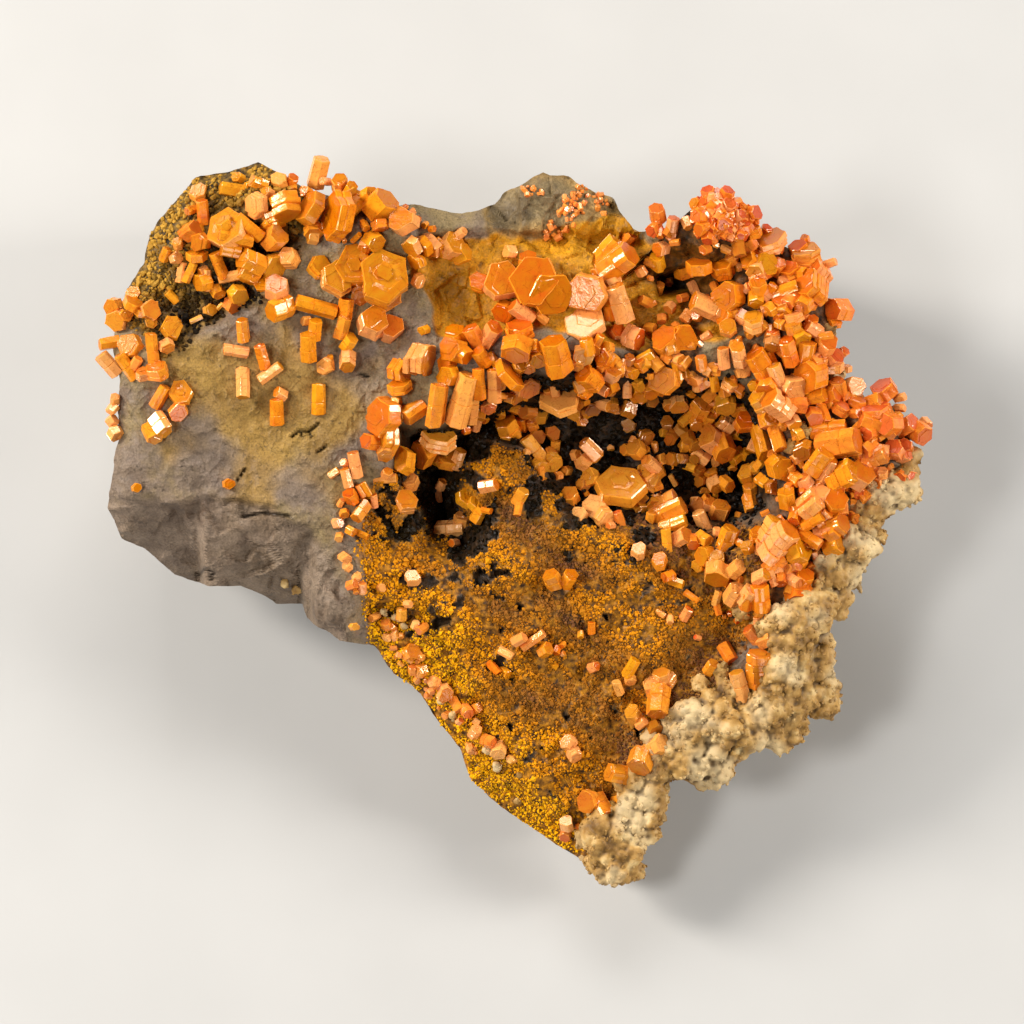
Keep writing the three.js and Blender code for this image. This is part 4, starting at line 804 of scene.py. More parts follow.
def relief(u, v):
    """How far each place on the rock's face stands towards the viewer, as the solids have it."""
    bent = np.sin(u / WAVE_U + WAVE_BEND * np.sin(v / WAVE_BEND_V))
    waves = WAVE_HEIGHT * bent * np.sin(v / WAVE_V + WAVE_TURN)
    d = waves + SWELL_HEIGHT * np.sin(u / SWELL_U - v / SWELL_V)
    for outline, depth, edge in DEEPER_PARTS:
        d = d - depth * smooth(-edge, edge, inside_by(outline, u, v))
    d = d - LOWER_FALL * np.maximum(0, (VIEW_MIDDLE - SLOPE_TOP_ROW) * MM_PER_STEP - v)
    d = d - RIGHT_FALL * np.maximum(0, u - (RIGHT_FALL_COLUMN - VIEW_MIDDLE) * MM_PER_STEP)
    for ridge, slope in FALLING_FACETS:
        d = d + facet_below(ridge, slope, u, v)
    for column, row, reach, height in MOUNDS:
        mu, mv = face((column, row))
        d = d + height * np.maximum(0, 1 - (np.hypot(u - mu, v - mv) / reach) ** 2) ** 2
    from_rim = np.clip(inside_by(ROCK_EDGE, u, v) / RIM_ROUNDING, 0, 1)
    return d - RIM_DROP * (1 - from_rim) ** 2


def scatter_value(i, j, salt):
    """A fixed random number from 0 to 1 for each cell of a square lattice, mixed by large primes."""
    mixed = (i * 73856093) ^ (j * 19349663) ^ (salt * 83492791)
    mixed = ((mixed ^ (mixed >> 13)) * 1274126177) & 0x7FFFFFFF
    return ((mixed ^ (mixed >> 15)) & 0xFFFF) / 0xFFFF


def cell_of(u, v, size):
    return np.floor(u / size).astype(np.int64), np.floor(v / size).astype(np.int64)


def swells(u, v, size, salt):
    """Smooth random swells of a given size, from -1 to 1."""
    i, j = cell_of(u, v, size)
    s, t = smooth(0, 1, u / size - i), smooth(0, 1, v / size - j)
    low = scatter_value(i, j, salt) * (1 - s) + scatter_value(i + 1, j, salt) * s
    high = scatter_value(i, j + 1, salt) * (1 - s) + scatter_value(i + 1, j + 1, salt) * s
    return 2 * (low * (1 - t) + high * t) - 1


def roughness(u, v, size, octaves, salt):
    """Swells on swells, each half as large, turned so that no lattice shows."""
    total = 0
    for k in range(octaves):
        turn = SWELL_TURN + SWELL_TURN_STEP * k
        a = u * math.cos(turn) - v * math.sin(turn)
        b = u * math.sin(turn) + v * math.cos(turn)
        total = total + swells(a, b, size / 2 ** k, salt + k) / 2 ** k
    return total


def cells_around(u, v, size, salt):
    """The nine cells round each place: its steps from the cell's point, and three numbers of the cell."""
    i, j = cell_of(u, v, size)
    for a in (-1, 0, 1):
        for b in (-1, 0, 1):
            x, y, *own = (scatter_value(i + a, j + b, salt + k) for k in range(5))
            du, dv = (u - (i + a + x) * size) / size, (v - (j + b + y) * size) / size
            yield du, dv, *(number - 0.5 for number in own)


def chips(u, v, size, salt):
    """Flat chips of broken rock that meet in ridges."""
    best = np.full(np.shape(u), -np.inf)
    for du, dv, lean_u, lean_v, _ in cells_around(u, v, size, salt):
        best = np.maximum(best, CHIP_LEAN * (lean_u * du + lean_v * dv) - CHIP_CROWN * (du * du + dv * dv))
    return best


def facets(u, v, size, salt):
    """Flat facets of broken rock, each leaning its own way, that meet in short steps."""
    near, beyond = np.full(np.shape(u), np.inf), np.full(np.shape(u), np.inf)
    height, next_height = np.zeros(np.shape(u)), np.zeros(np.shape(u))
    for du, dv, lean_u, lean_v, rise in cells_around(u, v, size, salt):
        own = FACET_RISE * rise + lean_u * du + lean_v * dv
        far = np.hypot(du, dv)
        closer, second = far < near, (far >= near) & (far < beyond)
        next_height = np.where(closer, height, np.where(second, own, next_height))
        beyond = np.where(closer, near, np.where(second, far, beyond))
        height, near = np.where(closer, own, height), np.where(closer, far, near)
    share = 0.5 + 0.5 * smooth(0, FACET_STEP, beyond - near)
    return share * height + (1 - share) * next_height


# What the broken surface adds to the solids' relief: (surface, height, form, size, octaves if any, salt).
BROKEN_RELIEF = (
    ("all", 0.12, roughness, 2.6, 3, 3), ("plain", 0.5, chips, 9.5, 5), ("plain", 0.45, facets, 5.5, 19),
    ("plain", 0.30, facets, 2.2, 27), ("plain", 0.10, roughness, 1.4, 2, 9), ("broken", 3.6, facets, 9.5, 17),
    ("broken", 1.5, facets, 4.0, 23), ("knob", 2.2, facets, 6.0, 29), ("knob", 1.6, facets, 2.8, 37),
    ("stain", 1.4, facets, 8.0, 57), ("stain", 0.9, facets, 3.0, 63), ("corner", 0.55, roughness, 1.5, 2, 41),
    ("slope", 0.42, roughness, 1.6, 3, 43), ("slope", 0.55, roughness, 6.0, 2, 47),
    ("vug", 1.1, roughness, 2.4, 3, 53), ("field", 0.6, roughness, 2.2, 2, 59),
)


def crack_depth(u, v):
    depth = np.zeros(np.shape(u))
    for line in CRACKS:
        places = face(line)
        for start, end in zip(places, places[1:]):
            depth = np.maximum(depth, 1 - smooth(*CRACK_WIDTHS, from_line(start, end, u, v)))
    return depth


def regions(u, v):
    """How much each place on the rock belongs to each kind of surface, from 0 to 1."""
    wander = WANDER * roughness(u, v, *WANDER_FORM)
    found = {
        key: smooth(low, high, inside_by(outline, u, v) + far * wander)
        for key, (outline, low, high, far) in SURFACES.items()
    }
    found["grey"] = 0 * u
    found["crack"] = crack_depth(u, v)
    for patch in GREY_PATCHES:
        here = smooth(-GREY_EDGE, GREY_EDGE, inside_by(patch, u, v) + wander)
        found["grey"] = np.maximum(found["grey"], here)
    cavity = smooth(*CAVITY_EDGE, inside_by(SMALL_CAVITY, u, v))
    level = PIT_LEVEL - PIT_NEAR_VUG * smooth(*NEAR_VUG, inside_by(DARK_GROUND, u, v))
    pits = found["slope"] * smooth(level, level + PIT_EDGE, roughness(u, v, *PIT_FORM))
    found["vug"] = np.maximum(np.maximum(found["vug"], cavity), pits)
    found["slope"] = found["slope"] * (1 - found["vug"])
    found["field"] = found["field"] * (1 - found["grey"])
    return found


def fine_relief(u, v, at):
    """What the broken surface adds to the relief of the solids."""
    plain = np.clip(1 - at["corner"] - at["slope"] - at["vug"] - at["field"], 0, 1)
    at = {**at, "plain": plain, "all": 1}
    d = 0
    for surface, height, form, *settings in BROKEN_RELIEF:
        d = d + at[surface] * height * form(u, v, *settings)
    for surface, depth in SUNK_SURFACES.items():
        d = d - depth * at[surface]
    return d


def edge_reach(angles):
    """Distance from the rock's middle to its edge, in given directions."""
    corners = face(ROCK_EDGE) - face(ROCK_MIDDLE)
    du, dv = np.cos(angles), np.sin(angles)
    reach = np.zeros(np.shape(angles))
    for (ax, ay), (bx, by) in zip(corners, np.roll(corners, -1, 0)):
        cross = du * (by - ay) - dv * (bx - ax)
        cross = np.where(np.abs(cross) < 1e-9, 1e-9, cross)
        far = (ax * (by - ay) - ay * (bx - ax)) / cross
        t = (ax * dv - ay * du) / cross
        reach = np.where((t >= 0) & (t <= 1), np.maximum(reach, far), reach)
    return reach + EDGE_ROUGHNESS * roughness(reach * du, reach * dv, *EDGE_FORM)


def face_places(a, b):
    """A square of cells bent to the rock's edge: a and b run from -1 to 1."""
    ring = np.maximum(np.abs(a), np.abs(b))
    wide = np.abs(a) > np.abs(b)
    safe_a, safe_b = np.where(a == 0, 1e-12, a), np.where(b == 0, 1e-12, b)
    turn = np.where(wide, b / safe_a, 2 - a / safe_b)
    angle = turn * math.pi / 4 + np.where(np.where(wide, a < 0, b < 0), math.pi, 0)
    far = ring * edge_reach(angle)
    mu, mv = face(ROCK_MIDDLE)
    return mu + far * np.cos(angle), mv + far * np.sin(angle)


def piece(name, points, faces, material, values, stands_for=()):
    """A mesh of the part, from points in millimetres, that rides with the rock."""
    mesh = bpy.data.meshes.new(name)
    mesh.from_pydata((np.asarray(points) * METRES).tolist(), [], faces)
    for key, numbers in values.items():
        layer = mesh.attributes.new(key, "FLOAT", "POINT")
        layer.data.foreach_set("value", np.asarray(numbers, np.float32))
    mesh.materials.append(material)
    mesh.update()
    made = bpy.data.objects.new(name, mesh)
    bpy.context.scene.collection.objects.link(made)
    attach(made, "root")
    if stands_for:
        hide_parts(*stands_for)
    return made


def make_rock(material):
    """The rock as one closed skin: its face, its sides and its flat underside."""
    side = FACE_CELLS + 1
    steps = np.linspace(-1, 1, side)
    a, b = np.meshgrid(steps, steps)
    u, v = face_places(a.ravel(), b.ravel())
    at = regions(u, v)
    d = relief(u, v) + fine_relief(u, v, at)
    points = [in_frame(u, v, d)]
    index = np.arange(side * side).reshape(side, side)
    cells = np.stack([index[:-1, :-1], index[:-1, 1:], index[1:, 1:], index[1:, :-1]], -1).reshape(-1, 4)
    faces = cells.tolist()
    rim = np.concatenate([index[0, :-1], index[:-1, -1], index[-1, :0:-1], index[:0:-1, 0]])
    rim_u, rim_v, rim_d = u[rim], v[rim], d[rim]
    mu, mv = face(ROCK_MIDDLE)
    values = {key: [numbers] for key, numbers in at.items()}
    run = np.cumsum(np.hypot(np.diff(rim_u, append=rim_u[0]), np.diff(rim_v, append=rim_v[0])))
    even_u, even_v = (sum(np.roll(x, k) for k in EVEN_REACH) / len(EVEN_REACH) for x in (rim_u, rim_v))
    upper, start = rim, side * side
    for row in range(1, SIDE_ROWS + 1):
        t = row / SIDE_ROWS
        high = np.full(len(run), SIDE_RUN * t)
        broken = SIDE_GRIT * roughness(run, high, *SIDE_GRIT_FORM)
        for height, size, salt, slant in SIDE_CHIPS:
            broken = broken + height * chips(run + slant * high, high, size, salt)
        bulge = math.sin(math.pi * t) ** SIDE_FULLNESS * broken - SIDE_SET_IN
        shrink = 1 - BASE_SHRINK * t * t + bulge / np.hypot(rim_u - mu, rim_v - mv)
        even = smooth(0, EVEN_BY, t)
        su = mu + (rim_u + even * (even_u - rim_u) - mu) * shrink
        sv = mv + (rim_v + even * (even_v - rim_v) - mv) * shrink
        points.append(in_frame(su, sv, rim_d + (on_table(sv) - rim_d) * t))
        lower = start + np.arange(len(rim))
        faces += np.stack([upper, lower, np.roll(lower, -1), np.roll(upper, -1)], -1).tolist()
        for key in values:
            values[key].append(at[key][rim] * max(0, 1 - STAIN_FADE * t))
        upper, start = lower, start + len(rim)
    points.append(in_frame(mu, mv, on_table(mv))[None])
    for key in values:
        values[key].append(np.zeros(1))
    faces += np.stack([upper, np.full(len(upper), start), np.roll(upper, -1)], -1).tolist()
    points = np.concatenate(points)
    points[:, 2] = np.maximum(points[:, 2], 0)
    values = {key: np.concatenate(parts) for key, parts in values.items()}
    made = piece("matrix_rock", points, faces, material, values, ["matrix"])
    made.data.shade_smooth()
    made.data.set_sharp_from_angle(angle=BROKEN_EDGE)


def six_sided(apothems, inset):
    """Twelve points round a six-sided outline with its corners just cut."""
    near, far = apothems - inset, np.roll(apothems - inset, -1)
    t, s = SIDE_TURNS, np.roll(SIDE_TURNS, -1)
    x = (near * np.sin(s) - far * np.sin(t)) / math.sin(math.radians(60))
    y = (far * np.cos(t) - near * np.cos(s)) / math.sin(math.radians(60))
    corners = np.stack([x, y], -1)
    before = corners + CORNER_CUT * (np.roll(corners, 1, 0) - corners)
    after = corners + CORNER_CUT * (np.roll(corners, -1, 0) - corners)
    return np.stack([before, after], 1).reshape(12, 2)


def uneven_outline(apothems, inset, chipped):
    """A six-sided outline with points along each side, drawn in a little where the side is chipped."""
    corners = six_sided(apothems, inset)
    if chipped is None:
        return corners
    parts = len(chipped) // 12
    ahead = np.roll(corners, -1, 0)
    along = [corners + (ahead - corners) * k / parts for k in range(parts)]
    return np.stack(along, 1).reshape(-1, 2) * (1 - chipped)[:, None]


def wear(own, chip, bend):
    """How far each point of an outline is drawn in: fine chips, and a slow bend of the whole outline."""
    turns = np.linspace(0, 2 * math.pi, WORN_POINTS, endpoint=False)
    drawn = own.uniform(0, chip, WORN_POINTS)
    for lobes in WORN_LOBES:
        drawn = drawn + own.uniform(0, bend) * (1 + np.cos(lobes * turns + own.uniform(0, ANY_TURN))) / 2
    return drawn


def growth_rings(wide, long, marks, own):
    """Rings along a crystal's axis, as (height, outline, end face): its plates, then its end."""
    half, radius = long / 2, wide / 2
    worn, stacked = wide > WORN_WIDTH, "s" in marks
    grown = WORN_GROWTH if worn else 1
    sides = grown * radius * math.cos(math.radians(30)) * (1 + own.uniform(*SIDE_SPREAD, 6))
    plates = 1
    if wide >= PLATED_WIDTH:
        plates += (own.uniform() < PLATE_CHANCE + PLATE_CHANCE_PER_MM * long) + STACKED_PLATES * stacked
    cuts = np.linspace(-half, half, plates + 1)
    cuts[1:-1] += own.uniform(-PLATE_SHIFT, PLATE_SHIFT, plates - 1) * long / plates
    edge = min(EDGE_SHARE * radius + EDGE_LEAST, EDGE_MOST * long / plates)
    rings = []
    bent = wear(own, *BODY_WEAR) if worn else None
    for low, high in zip(cuts, cuts[1:]):
        own_sides = sides * (1 + own.uniform(-STACKED_UNEVEN if stacked else -PLAIN_UNEVEN, PLATE_OUT, 6))
        shift = own.normal(0, STACKED_SLIP if stacked else PLAIN_SLIP, 2) * wide
        chipped = bent + own.uniform(0, PLATE_CHIP, WORN_POINTS) if worn else None
        full, eased = (uneven_outline(own_sides, inset, chipped) + shift for inset in (0, edge))
        rings += [(low, eased, 0.5), (low + edge, full, 0), (high - edge, full, 0), (high, eased, 0.5)]
    rings[0] = (-half, rings[0][1], 1)
    rings[-1] = (half, rings[-1][1], 1)
    if wide < STEPPED_WIDTH:
        return rings
    step, kind = own.uniform(*END_STEP), own.uniform()
    chipped = wear(own, *END_WEAR) if worn else None
    if "h" in marks:
        parts = [sides * own.uniform(*share, 6) for share in (HOLLOW_RIM, HOLLOW_FLOOR, HOLLOW_BUD)]
        for part, size, height, cap in HOLLOW_END:
            rings.append((half + height * long, uneven_outline(size * parts[part], 0, chipped), cap))
    elif kind < SUNK_ENDS:
        raised = kind < RAISED_ENDS
        plate = sides * own.uniform(*(RAISED_PLATE if raised else SUNK_PLATE), 6)
        for height, inset in ((half, 0), (half + step if raised else half - step, edge)):
            rings.append((height, uneven_outline(plate, inset, chipped), 1 if raised else 0.95))
    return rings


def crystal(spec, ground, tint, own):
    """One crystal on its ground: points on the face, faces, and values for the colour of each point."""
    column, row, wide, long, lean, heading = spec[:6]
    rise = spec[6] if len(spec) > 6 else 0
    marks = spec[7] if len(spec) > 7 else ""
    u, v = face((column, row))
    lean, heading = math.radians(lean), math.radians(heading)
    upright, leaning = math.cos(lean), math.sin(lean)
    d = ground + SEATING * (long * upright + wide * leaning) / 2 + rise
    axis = np.array([leaning * math.cos(heading), leaning * math.sin(heading), upright])
    front = np.array([-upright * math.cos(heading), -upright * math.sin(heading), leaning])
    sideways = np.cross(axis, front)
    spin = math.radians((int(column) * SPIN_BY_COLUMN + int(row) * SPIN_BY_ROW) % SPIN_TURN)
    ahead = math.cos(spin) * front + math.sin(spin) * sideways
    aside = -math.sin(spin) * front + math.cos(spin) * sideways
    rings = growth_rings(wide, long, marks, own)
    tilt, taper = own.normal(0, END_TILT, 2), own.uniform(0, MOST_TAPER)
    ends = [(height, outline.mean(0)[None], cap) for height, outline, cap in (rings[0], rings[-1])]
    every_ring = rings + ends
    points, caps = [], []
    for height, outline, cap in every_ring:
        outline = outline * (1 - taper * (height / long + 0.5))
        uneven = height * (1 + outline @ tilt / wide)
        points.append(outline[:, :1] * ahead + outline[:, 1:] * aside + uneven[:, None] * axis)
        caps += [cap] * len(outline)
    points = np.concatenate(points) + np.array([u, v, d])
    faces = []
    around = len(rings[0][1])
    low, last = around * len(rings), around * (len(rings) - 1)
    for i in range(around):
        n = (i + 1) % around
        for start in range(0, last, around):
            faces.append((start + i, start + n, start + around + n, start + around + i))
        faces += [(low, n, i), (low + 1, last + i, last + n)]
    along = np.concatenate([np.full(len(outline), height / long) for height, outline, _ in every_ring])
    hue = USUAL_HUE + tint[0] + YELLOW_STEP * marks.count("y") - RED_STEP * marks.count("r")
    hue = hue + own.normal(0, HUE_SPREAD) + ROOT_REDNESS * along
    chance = own.uniform()
    pale = tint[1] + PALE_STEP * marks.count("p") + PALE_SPREAD * chance
    # Browning is partly staining and partly painted shade.
    brown = tint[2] + BROWN_STEP * marks.count("b") + own.uniform(0, BROWN_SPREAD)
    # Painted sheen on the sides of the crystals whose chance is high.
    frosted = smooth(SHEEN_FROM, SHEEN_TO, chance)
    return points, faces, dict(zip(CRYSTAL_VALUES, (caps, hue, pale, brown, frosted)))


def with_companions(specs, own):
    """The crystals, and beside many of the larger ones a smaller one grown in nearly the same direction."""
    grown = []
    for spec in specs:
        grown.append(spec)
        column, row, wide, long, lean, heading = spec[:6]
        share, size = own.uniform(), own.uniform(*COMPANION_SIZES)
        aside = math.radians(heading + own.choice((-90, 90)) + own.normal(0, COMPANION_SWING))
        turns = own.normal(0, COMPANION_TURN, 2)
        if wide > COMPANION_WIDTH and share < COMPANION_SHARE:
            far = wide / 2 / MM_PER_STEP
            rise = (spec[6] if len(spec) > 6 else 0) - COMPANION_SINK * wide
            grown.append((
                column + far * math.cos(aside), row - far * math.sin(aside),
                size * wide, min(1, COMPANION_LENGTH * size) * long,
                lean + turns[0], heading + turns[1], rise, *spec[7:],
            ))
    return grown


def make_crystals(name, specs, tint, material):
    """A cluster of crystals as one piece, in place of the solids of that name."""
    own = np.random.default_rng(sum(ord(letter) for letter in name))
    points, faces, values, count = [], [], {key: [] for key in CRYSTAL_VALUES}, 0
    grown = with_companions(specs, own)
    u, v = face([spec[:2] for spec in grown]).T
    grounds = relief(u, v) + fine_relief(u, v, regions(u, v))
    for spec, ground in zip(grown, grounds):
        some, around, colour = crystal(spec, ground, tint, own)
        points.append(some)
        faces += [tuple(corner + count for corner in one) for one in around]
        for key in values:
            values[key].append(np.broadcast_to(np.clip(colour[key], 0, 1), len(some)))
        count += len(some)
    points = np.concatenate(points)
    values = {key: np.concatenate(parts) for key, parts in values.items()}
    nodes = [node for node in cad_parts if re.fullmatch(name + r"(_\d+)?", node)]
    label = name if name.endswith(("crystals", "druse", "crumbs")) else name + "_crystals"
    piece(label + "_grown", in_frame(*points.T), faces, material, values, nodes)


def make_druse(name, outline, spacing, widths, tint, chance, clump, overhang, material):
    """Small crystals that fill the gaps of a crystal field, in clumps of a given size if there is one."""
    own = np.random.default_rng(len(name) * DRUSE_SEED)
    corners = face(outline)
    (low_u, low_v), (high_u, high_v) = corners.min(0), corners.max(0)
    specs = []
    for v in np.arange(low_v, high_v, spacing):
        for u in np.arange(low_u, high_u, spacing):
            pu, pv = u + own.uniform(-0.5, 0.5) * spacing, v + own.uniform(-0.5, 0.5) * spacing
            wide, stubby = own.uniform(*widths), own.uniform(*DRUSE_STUBBINESS)
            lean, heading = own.uniform(*DRUSE_LEANS), own.uniform(0, 360)
            lucky = own.uniform() < chance
            if clump and roughness(pu, pv, clump, CLUMP_OCTAVES, CLUMP_SALT) < CLUMP_LEVEL:
                lucky = False
            if lucky and inside_by(outline, pu, pv) > 0 and inside_by(ROCK_EDGE, pu, pv) > -overhang:
                column, row = pu / MM_PER_STEP + VIEW_MIDDLE, VIEW_MIDDLE - pv / MM_PER_STEP
                specs.append((column, row, wide, wide * stubby, lean, heading, -DRUSE_SINK * wide))
    make_crystals(name, specs, tint, material)


def grain_faces():
    """The twenty triangles over a grain's twelve points, facing out."""
    edge = min(np.linalg.norm(GRAIN_POINTS[0] - other) for other in GRAIN_POINTS[1:]) * 1.01
    near = [[np.linalg.norm(p - q) < edge for q in GRAIN_POINTS] for p in GRAIN_POINTS]
    found = []
    for i in range(12):
        for j in range(i + 1, 12):
            for k in range(j + 1, 12):
                if near[i][j] and near[j][k] and near[i][k]:
                    p, q, r = GRAIN_POINTS[[i, j, k]]
                    outward = np.dot(np.cross(q - p, r - p), p) > 0
                    found.append((i, j, k) if outward else (i, k, j))
    return np.array(found)


def grow_grains(name, places, girth, values, material, own, small=False):
    """Uneven grains at given places, each turned its own way."""
    template = SMALL_GRAIN_POINTS if small else GRAIN_POINTS
    template_faces = SMALL_GRAIN_FACES if small else grain_faces()
    count, corners = len(places), len(template)
    turns = np.linalg.qr(own.normal(size=(count, 3, 3)))[0]
    turns *= np.sign(np.linalg.det(turns))[:, None, None]
    local = template[None] * own.uniform(*GRAIN_UNEVEN, (count, corners, 1))
    local = local * own.uniform(*GRAIN_STRETCH, (count, 1, 3))
    points = np.einsum("npk,nkj->npj", local, turns) * girth[:, None, None] + places[:, None]
    faces = (template_faces[None] + corners * np.arange(count)[:, None, None]).reshape(-1, 3)
    values = {key: np.repeat(numbers, corners) for key, numbers in values.items()}
    piece(name, in_frame(*points.reshape(-1, 3).T), faces.tolist(), material, values)


def make_grains(name, outline, surface, spacing, size, seed, material):
    """Grains that crowd one part of the rock's face."""
    own = np.random.default_rng(seed)
    corners = face(outline)
    (low_u, low_v), (high_u, high_v) = corners.min(0) - GRAIN_MARGIN, corners.max(0) + GRAIN_MARGIN
    rows = np.arange(low_v, high_v, ROW_PITCH * spacing)
    u, v = np.meshgrid(np.arange(low_u, high_u, spacing), rows)
    u = u + (np.arange(len(u)) % 2)[:, None] * spacing / 2
    u, v = u.ravel(), v.ravel()
    u = u + own.uniform(-GRAIN_JITTER, GRAIN_JITTER, len(u)) * spacing
    v = v + own.uniform(-GRAIN_JITTER, GRAIN_JITTER, len(v)) * spacing
    full = regions(u, v)[surface] * smooth(*GRAIN_GAPS, roughness(u, v, *GRAIN_GAP_FORM))
    keep = (own.uniform(0, 1, len(u)) < full) & (inside_by(ROCK_EDGE, u, v) > GRAIN_EDGE)
    u, v = u[keep], v[keep]
    at = regions(u, v)
    girth = size * np.exp(own.normal(0, GRAIN_SPREAD, len(u))) / 2
    d = relief(u, v) + fine_relief(u, v, at) + GRAIN_SEAT * girth
    if surface == "corner":
        zone = CORNER_STRENGTH * smooth(CORNER_BAND, 0, inside_by(ROCK_EDGE, u, v))
    else:
        zone = SLOPE_ZONE - ZONE_BY_U * u - ZONE_BY_V * v
    along = u * math.cos(STREAK_TURN) + v * math.sin(STREAK_TURN)
    across = v * math.cos(STREAK_TURN) - u * math.sin(STREAK_TURN)
    streaks = roughness(along / STREAK_STRETCH, across, *STREAK_FORM)
    zone = np.clip(zone + STREAK_STRENGTH * streaks, 0, 1)
    values = {"own": own.uniform(0, 1, len(u)), "rim": at["rim"], "lump": zone}
    places = np.stack([u, v, d], -1)
    grow_grains(name, places, girth, values, material, own, small=size < SMALL_GRAIN)


def lump_way(turn, high):
    """A direction out of a lump, at a turn round it and a height from -1 to 1."""
    flat = math.sqrt(max(0, 1 - high * high))
    return np.array([flat * math.cos(turn), flat * math.sin(turn), LUMP_SQUASH * high])


def crust_lumps(own):
    """Middles and radii of the crust's lumps: large ones, shoulders, beads all over these, and the spike."""
    found = []
    large = [(*lump, LUMP_SHOULDERS) for lump in CRUST_LUMPS]
    large += [(*bit, BIT_SHOULDERS) for bit in CALCITE_BITS]
    for column, row, diameter, shoulders in large:
        u, v = face((column, row))
        middle = np.array([u, v, float(relief(u, v)) + LUMP_SEAT * diameter])
        radius = diameter / 2
        found.append((middle, LUMP_CORE * radius))
        for k in range(shoulders):
            turn = 2 * math.pi * (k + own.uniform(-TURN_JITTER, TURN_JITTER)) / shoulders
            way = lump_way(turn, own.uniform(*SHOULDER_HEIGHTS))
            size = own.uniform(*SHOULDER_SIZES) * radius
            found.append((middle + way * (radius - SHOULDER_SEAT * size), size))
    for middle, radius in list(found):
        bead = min(own.choice(BEAD_SIZES), BEAD_MOST_SHARE * radius + BEAD_MOST_EXTRA)
        beads = int(BEAD_COVER * (radius / bead) ** 2) + BEAD_LEAST
        for k in range(beads):
            high = 1 - BEADS_DOWN * (k + 0.5) / beads
            turn = k * math.pi * (3 - math.sqrt(5)) + own.uniform(-TURN_JITTER, TURN_JITTER)
            size = bead * own.uniform(*BEAD_SPREAD)
            found.append((middle + lump_way(turn, high) * (radius + own.uniform(*BEAD_SEAT) * size), size))
    column, row, width, length = CRUST_SPIKE
    u, v = face((column, row))
    root = np.array([u, v, float(relief(u, v)) - SPIKE_SINK])
    for share in np.linspace(0, 1, SPIKE_STEPS):
        middle = root + np.array(SPIKE_WAY) * length * (share - 0.5)
        found.append((middle, width / 2 * (1 - SPIKE_TAPER * share) + SPIKE_TIP))
    return found


def round_lump():
    """Points and faces of a round lump of radius one."""
    mesh = bpy.data.meshes.new("lump_template")
    sphere = bmesh.new()
    bmesh.ops.create_icosphere(sphere, subdivisions=LUMP_CUTS, radius=1)
    sphere.to_mesh(mesh)
    sphere.free()
    points = np.array([vertex.co for vertex in mesh.vertices])
    faces = np.array([polygon.vertices for polygon in mesh.polygons])
    bpy.data.meshes.remove(mesh)
    return points, faces


def grown_together(points, faces):
    """One skin over lumps that cut into each other: its points, normals, faces and edges."""
    mesh = bpy.data.meshes.new("crust_lumps")
    mesh.from_pydata(points.tolist(), [], faces.tolist())
    lumps = bpy.data.objects.new("crust_lumps", mesh)
    bpy.context.scene.collection.objects.link(lumps)
    grown = lumps.modifiers.new("grown_together", "REMESH")
    grown.mode = "VOXEL"
    grown.voxel_size = CRUST_VOXEL
    skin = lumps.evaluated_get(bpy.context.evaluated_depsgraph_get()).to_mesh()
    co = np.array([vertex.co for vertex in skin.vertices])
    normals = np.array([vertex.normal for vertex in skin.vertices])
    around = [tuple(polygon.vertices) for polygon in skin.polygons]
    pairs = np.array([edge.vertices[:] for edge in skin.edges])
    bpy.data.objects.remove(lumps)
    bpy.data.meshes.remove(mesh)
    return co, normals, around, pairs


def eased_skin(co, pairs):
    """A skin's points after many rounds of moving each to the mean of its neighbours."""
    moved = co
    for _ in range(CRUST_EASING):
        total, count = np.zeros_like(co), np.zeros(len(co))
        for one, other in (pairs.T, pairs.T[::-1]):
            np.add.at(total, one, moved[other])
            np.add.at(count, one, 1)
        moved = total / count[:, None]
    return moved


def make_crust(material):
    """The calcite crust: beaded lumps grown together in one skin, with loose grains on it."""
    own = np.random.default_rng(CRUST_SEED)
    round_points, round_faces = round_lump()
    lumps = []
    for middle, radius in crust_lumps(own):
        uneven = 1 + own.normal(0, LUMP_UNEVEN, (len(round_points), 1))
        lumps.append(round_points * radius * uneven + middle)
    starts = len(round_points) * np.arange(len(lumps))
    faces = (round_faces[None] + starts[:, None, None]).reshape(-1, 3)
    co, normals, around, pairs = grown_together(np.concatenate(lumps), faces)
    hollow = np.einsum("ij,ij->i", eased_skin(co, pairs) - co, normals)
    grit = np.array([sum(share * noise.noise(Vector(p) / size) for size, share in GRIT_SIZES) for p in co])
    co = co + normals * (GRIT_HEIGHT * grit)[:, None]
    patch = np.array([noise.noise(Vector(p) / FROST_PATCH) for p in co])
    frost = 0.5 + 0.5 * patch
    # The grit value is painted shade: lower in the skin's recesses and in the dips of its grit.
    values = {"frost": frost, "grit": GRIT_LEVEL + GRIT_SHADE * grit - CRUST_SHADE * hollow}
    skin = in_frame(*co.T)
    made = piece("calcite_crust_lumps", skin, around, material, values, ["calcite_crust"])
    made.data.shade_smooth()
    chosen = own.choice(len(co), CRUST_GRAINS, replace=False)
    chosen = chosen[normals[chosen, 2] > LOWEST_FACING]
    girth = CRUST_GRAIN_SIZE * np.exp(own.normal(0, CRUST_GRAIN_SPREAD, len(chosen)))
    places = co[chosen] + normals[chosen] * (CRUST_GRAIN_SEAT * girth)[:, None]
    values = {"frost": frost[chosen], "grit": own.uniform(*CRUST_GRAIN_SHADES, len(chosen))}
    grow_grains("calcite_crust_grains", places, girth, values, material, own)


def new_material(name):
    material = bpy.data.materials.new(name)
    material.use_nodes = True
    material.node_tree.nodes.clear()
    return material, material.node_tree


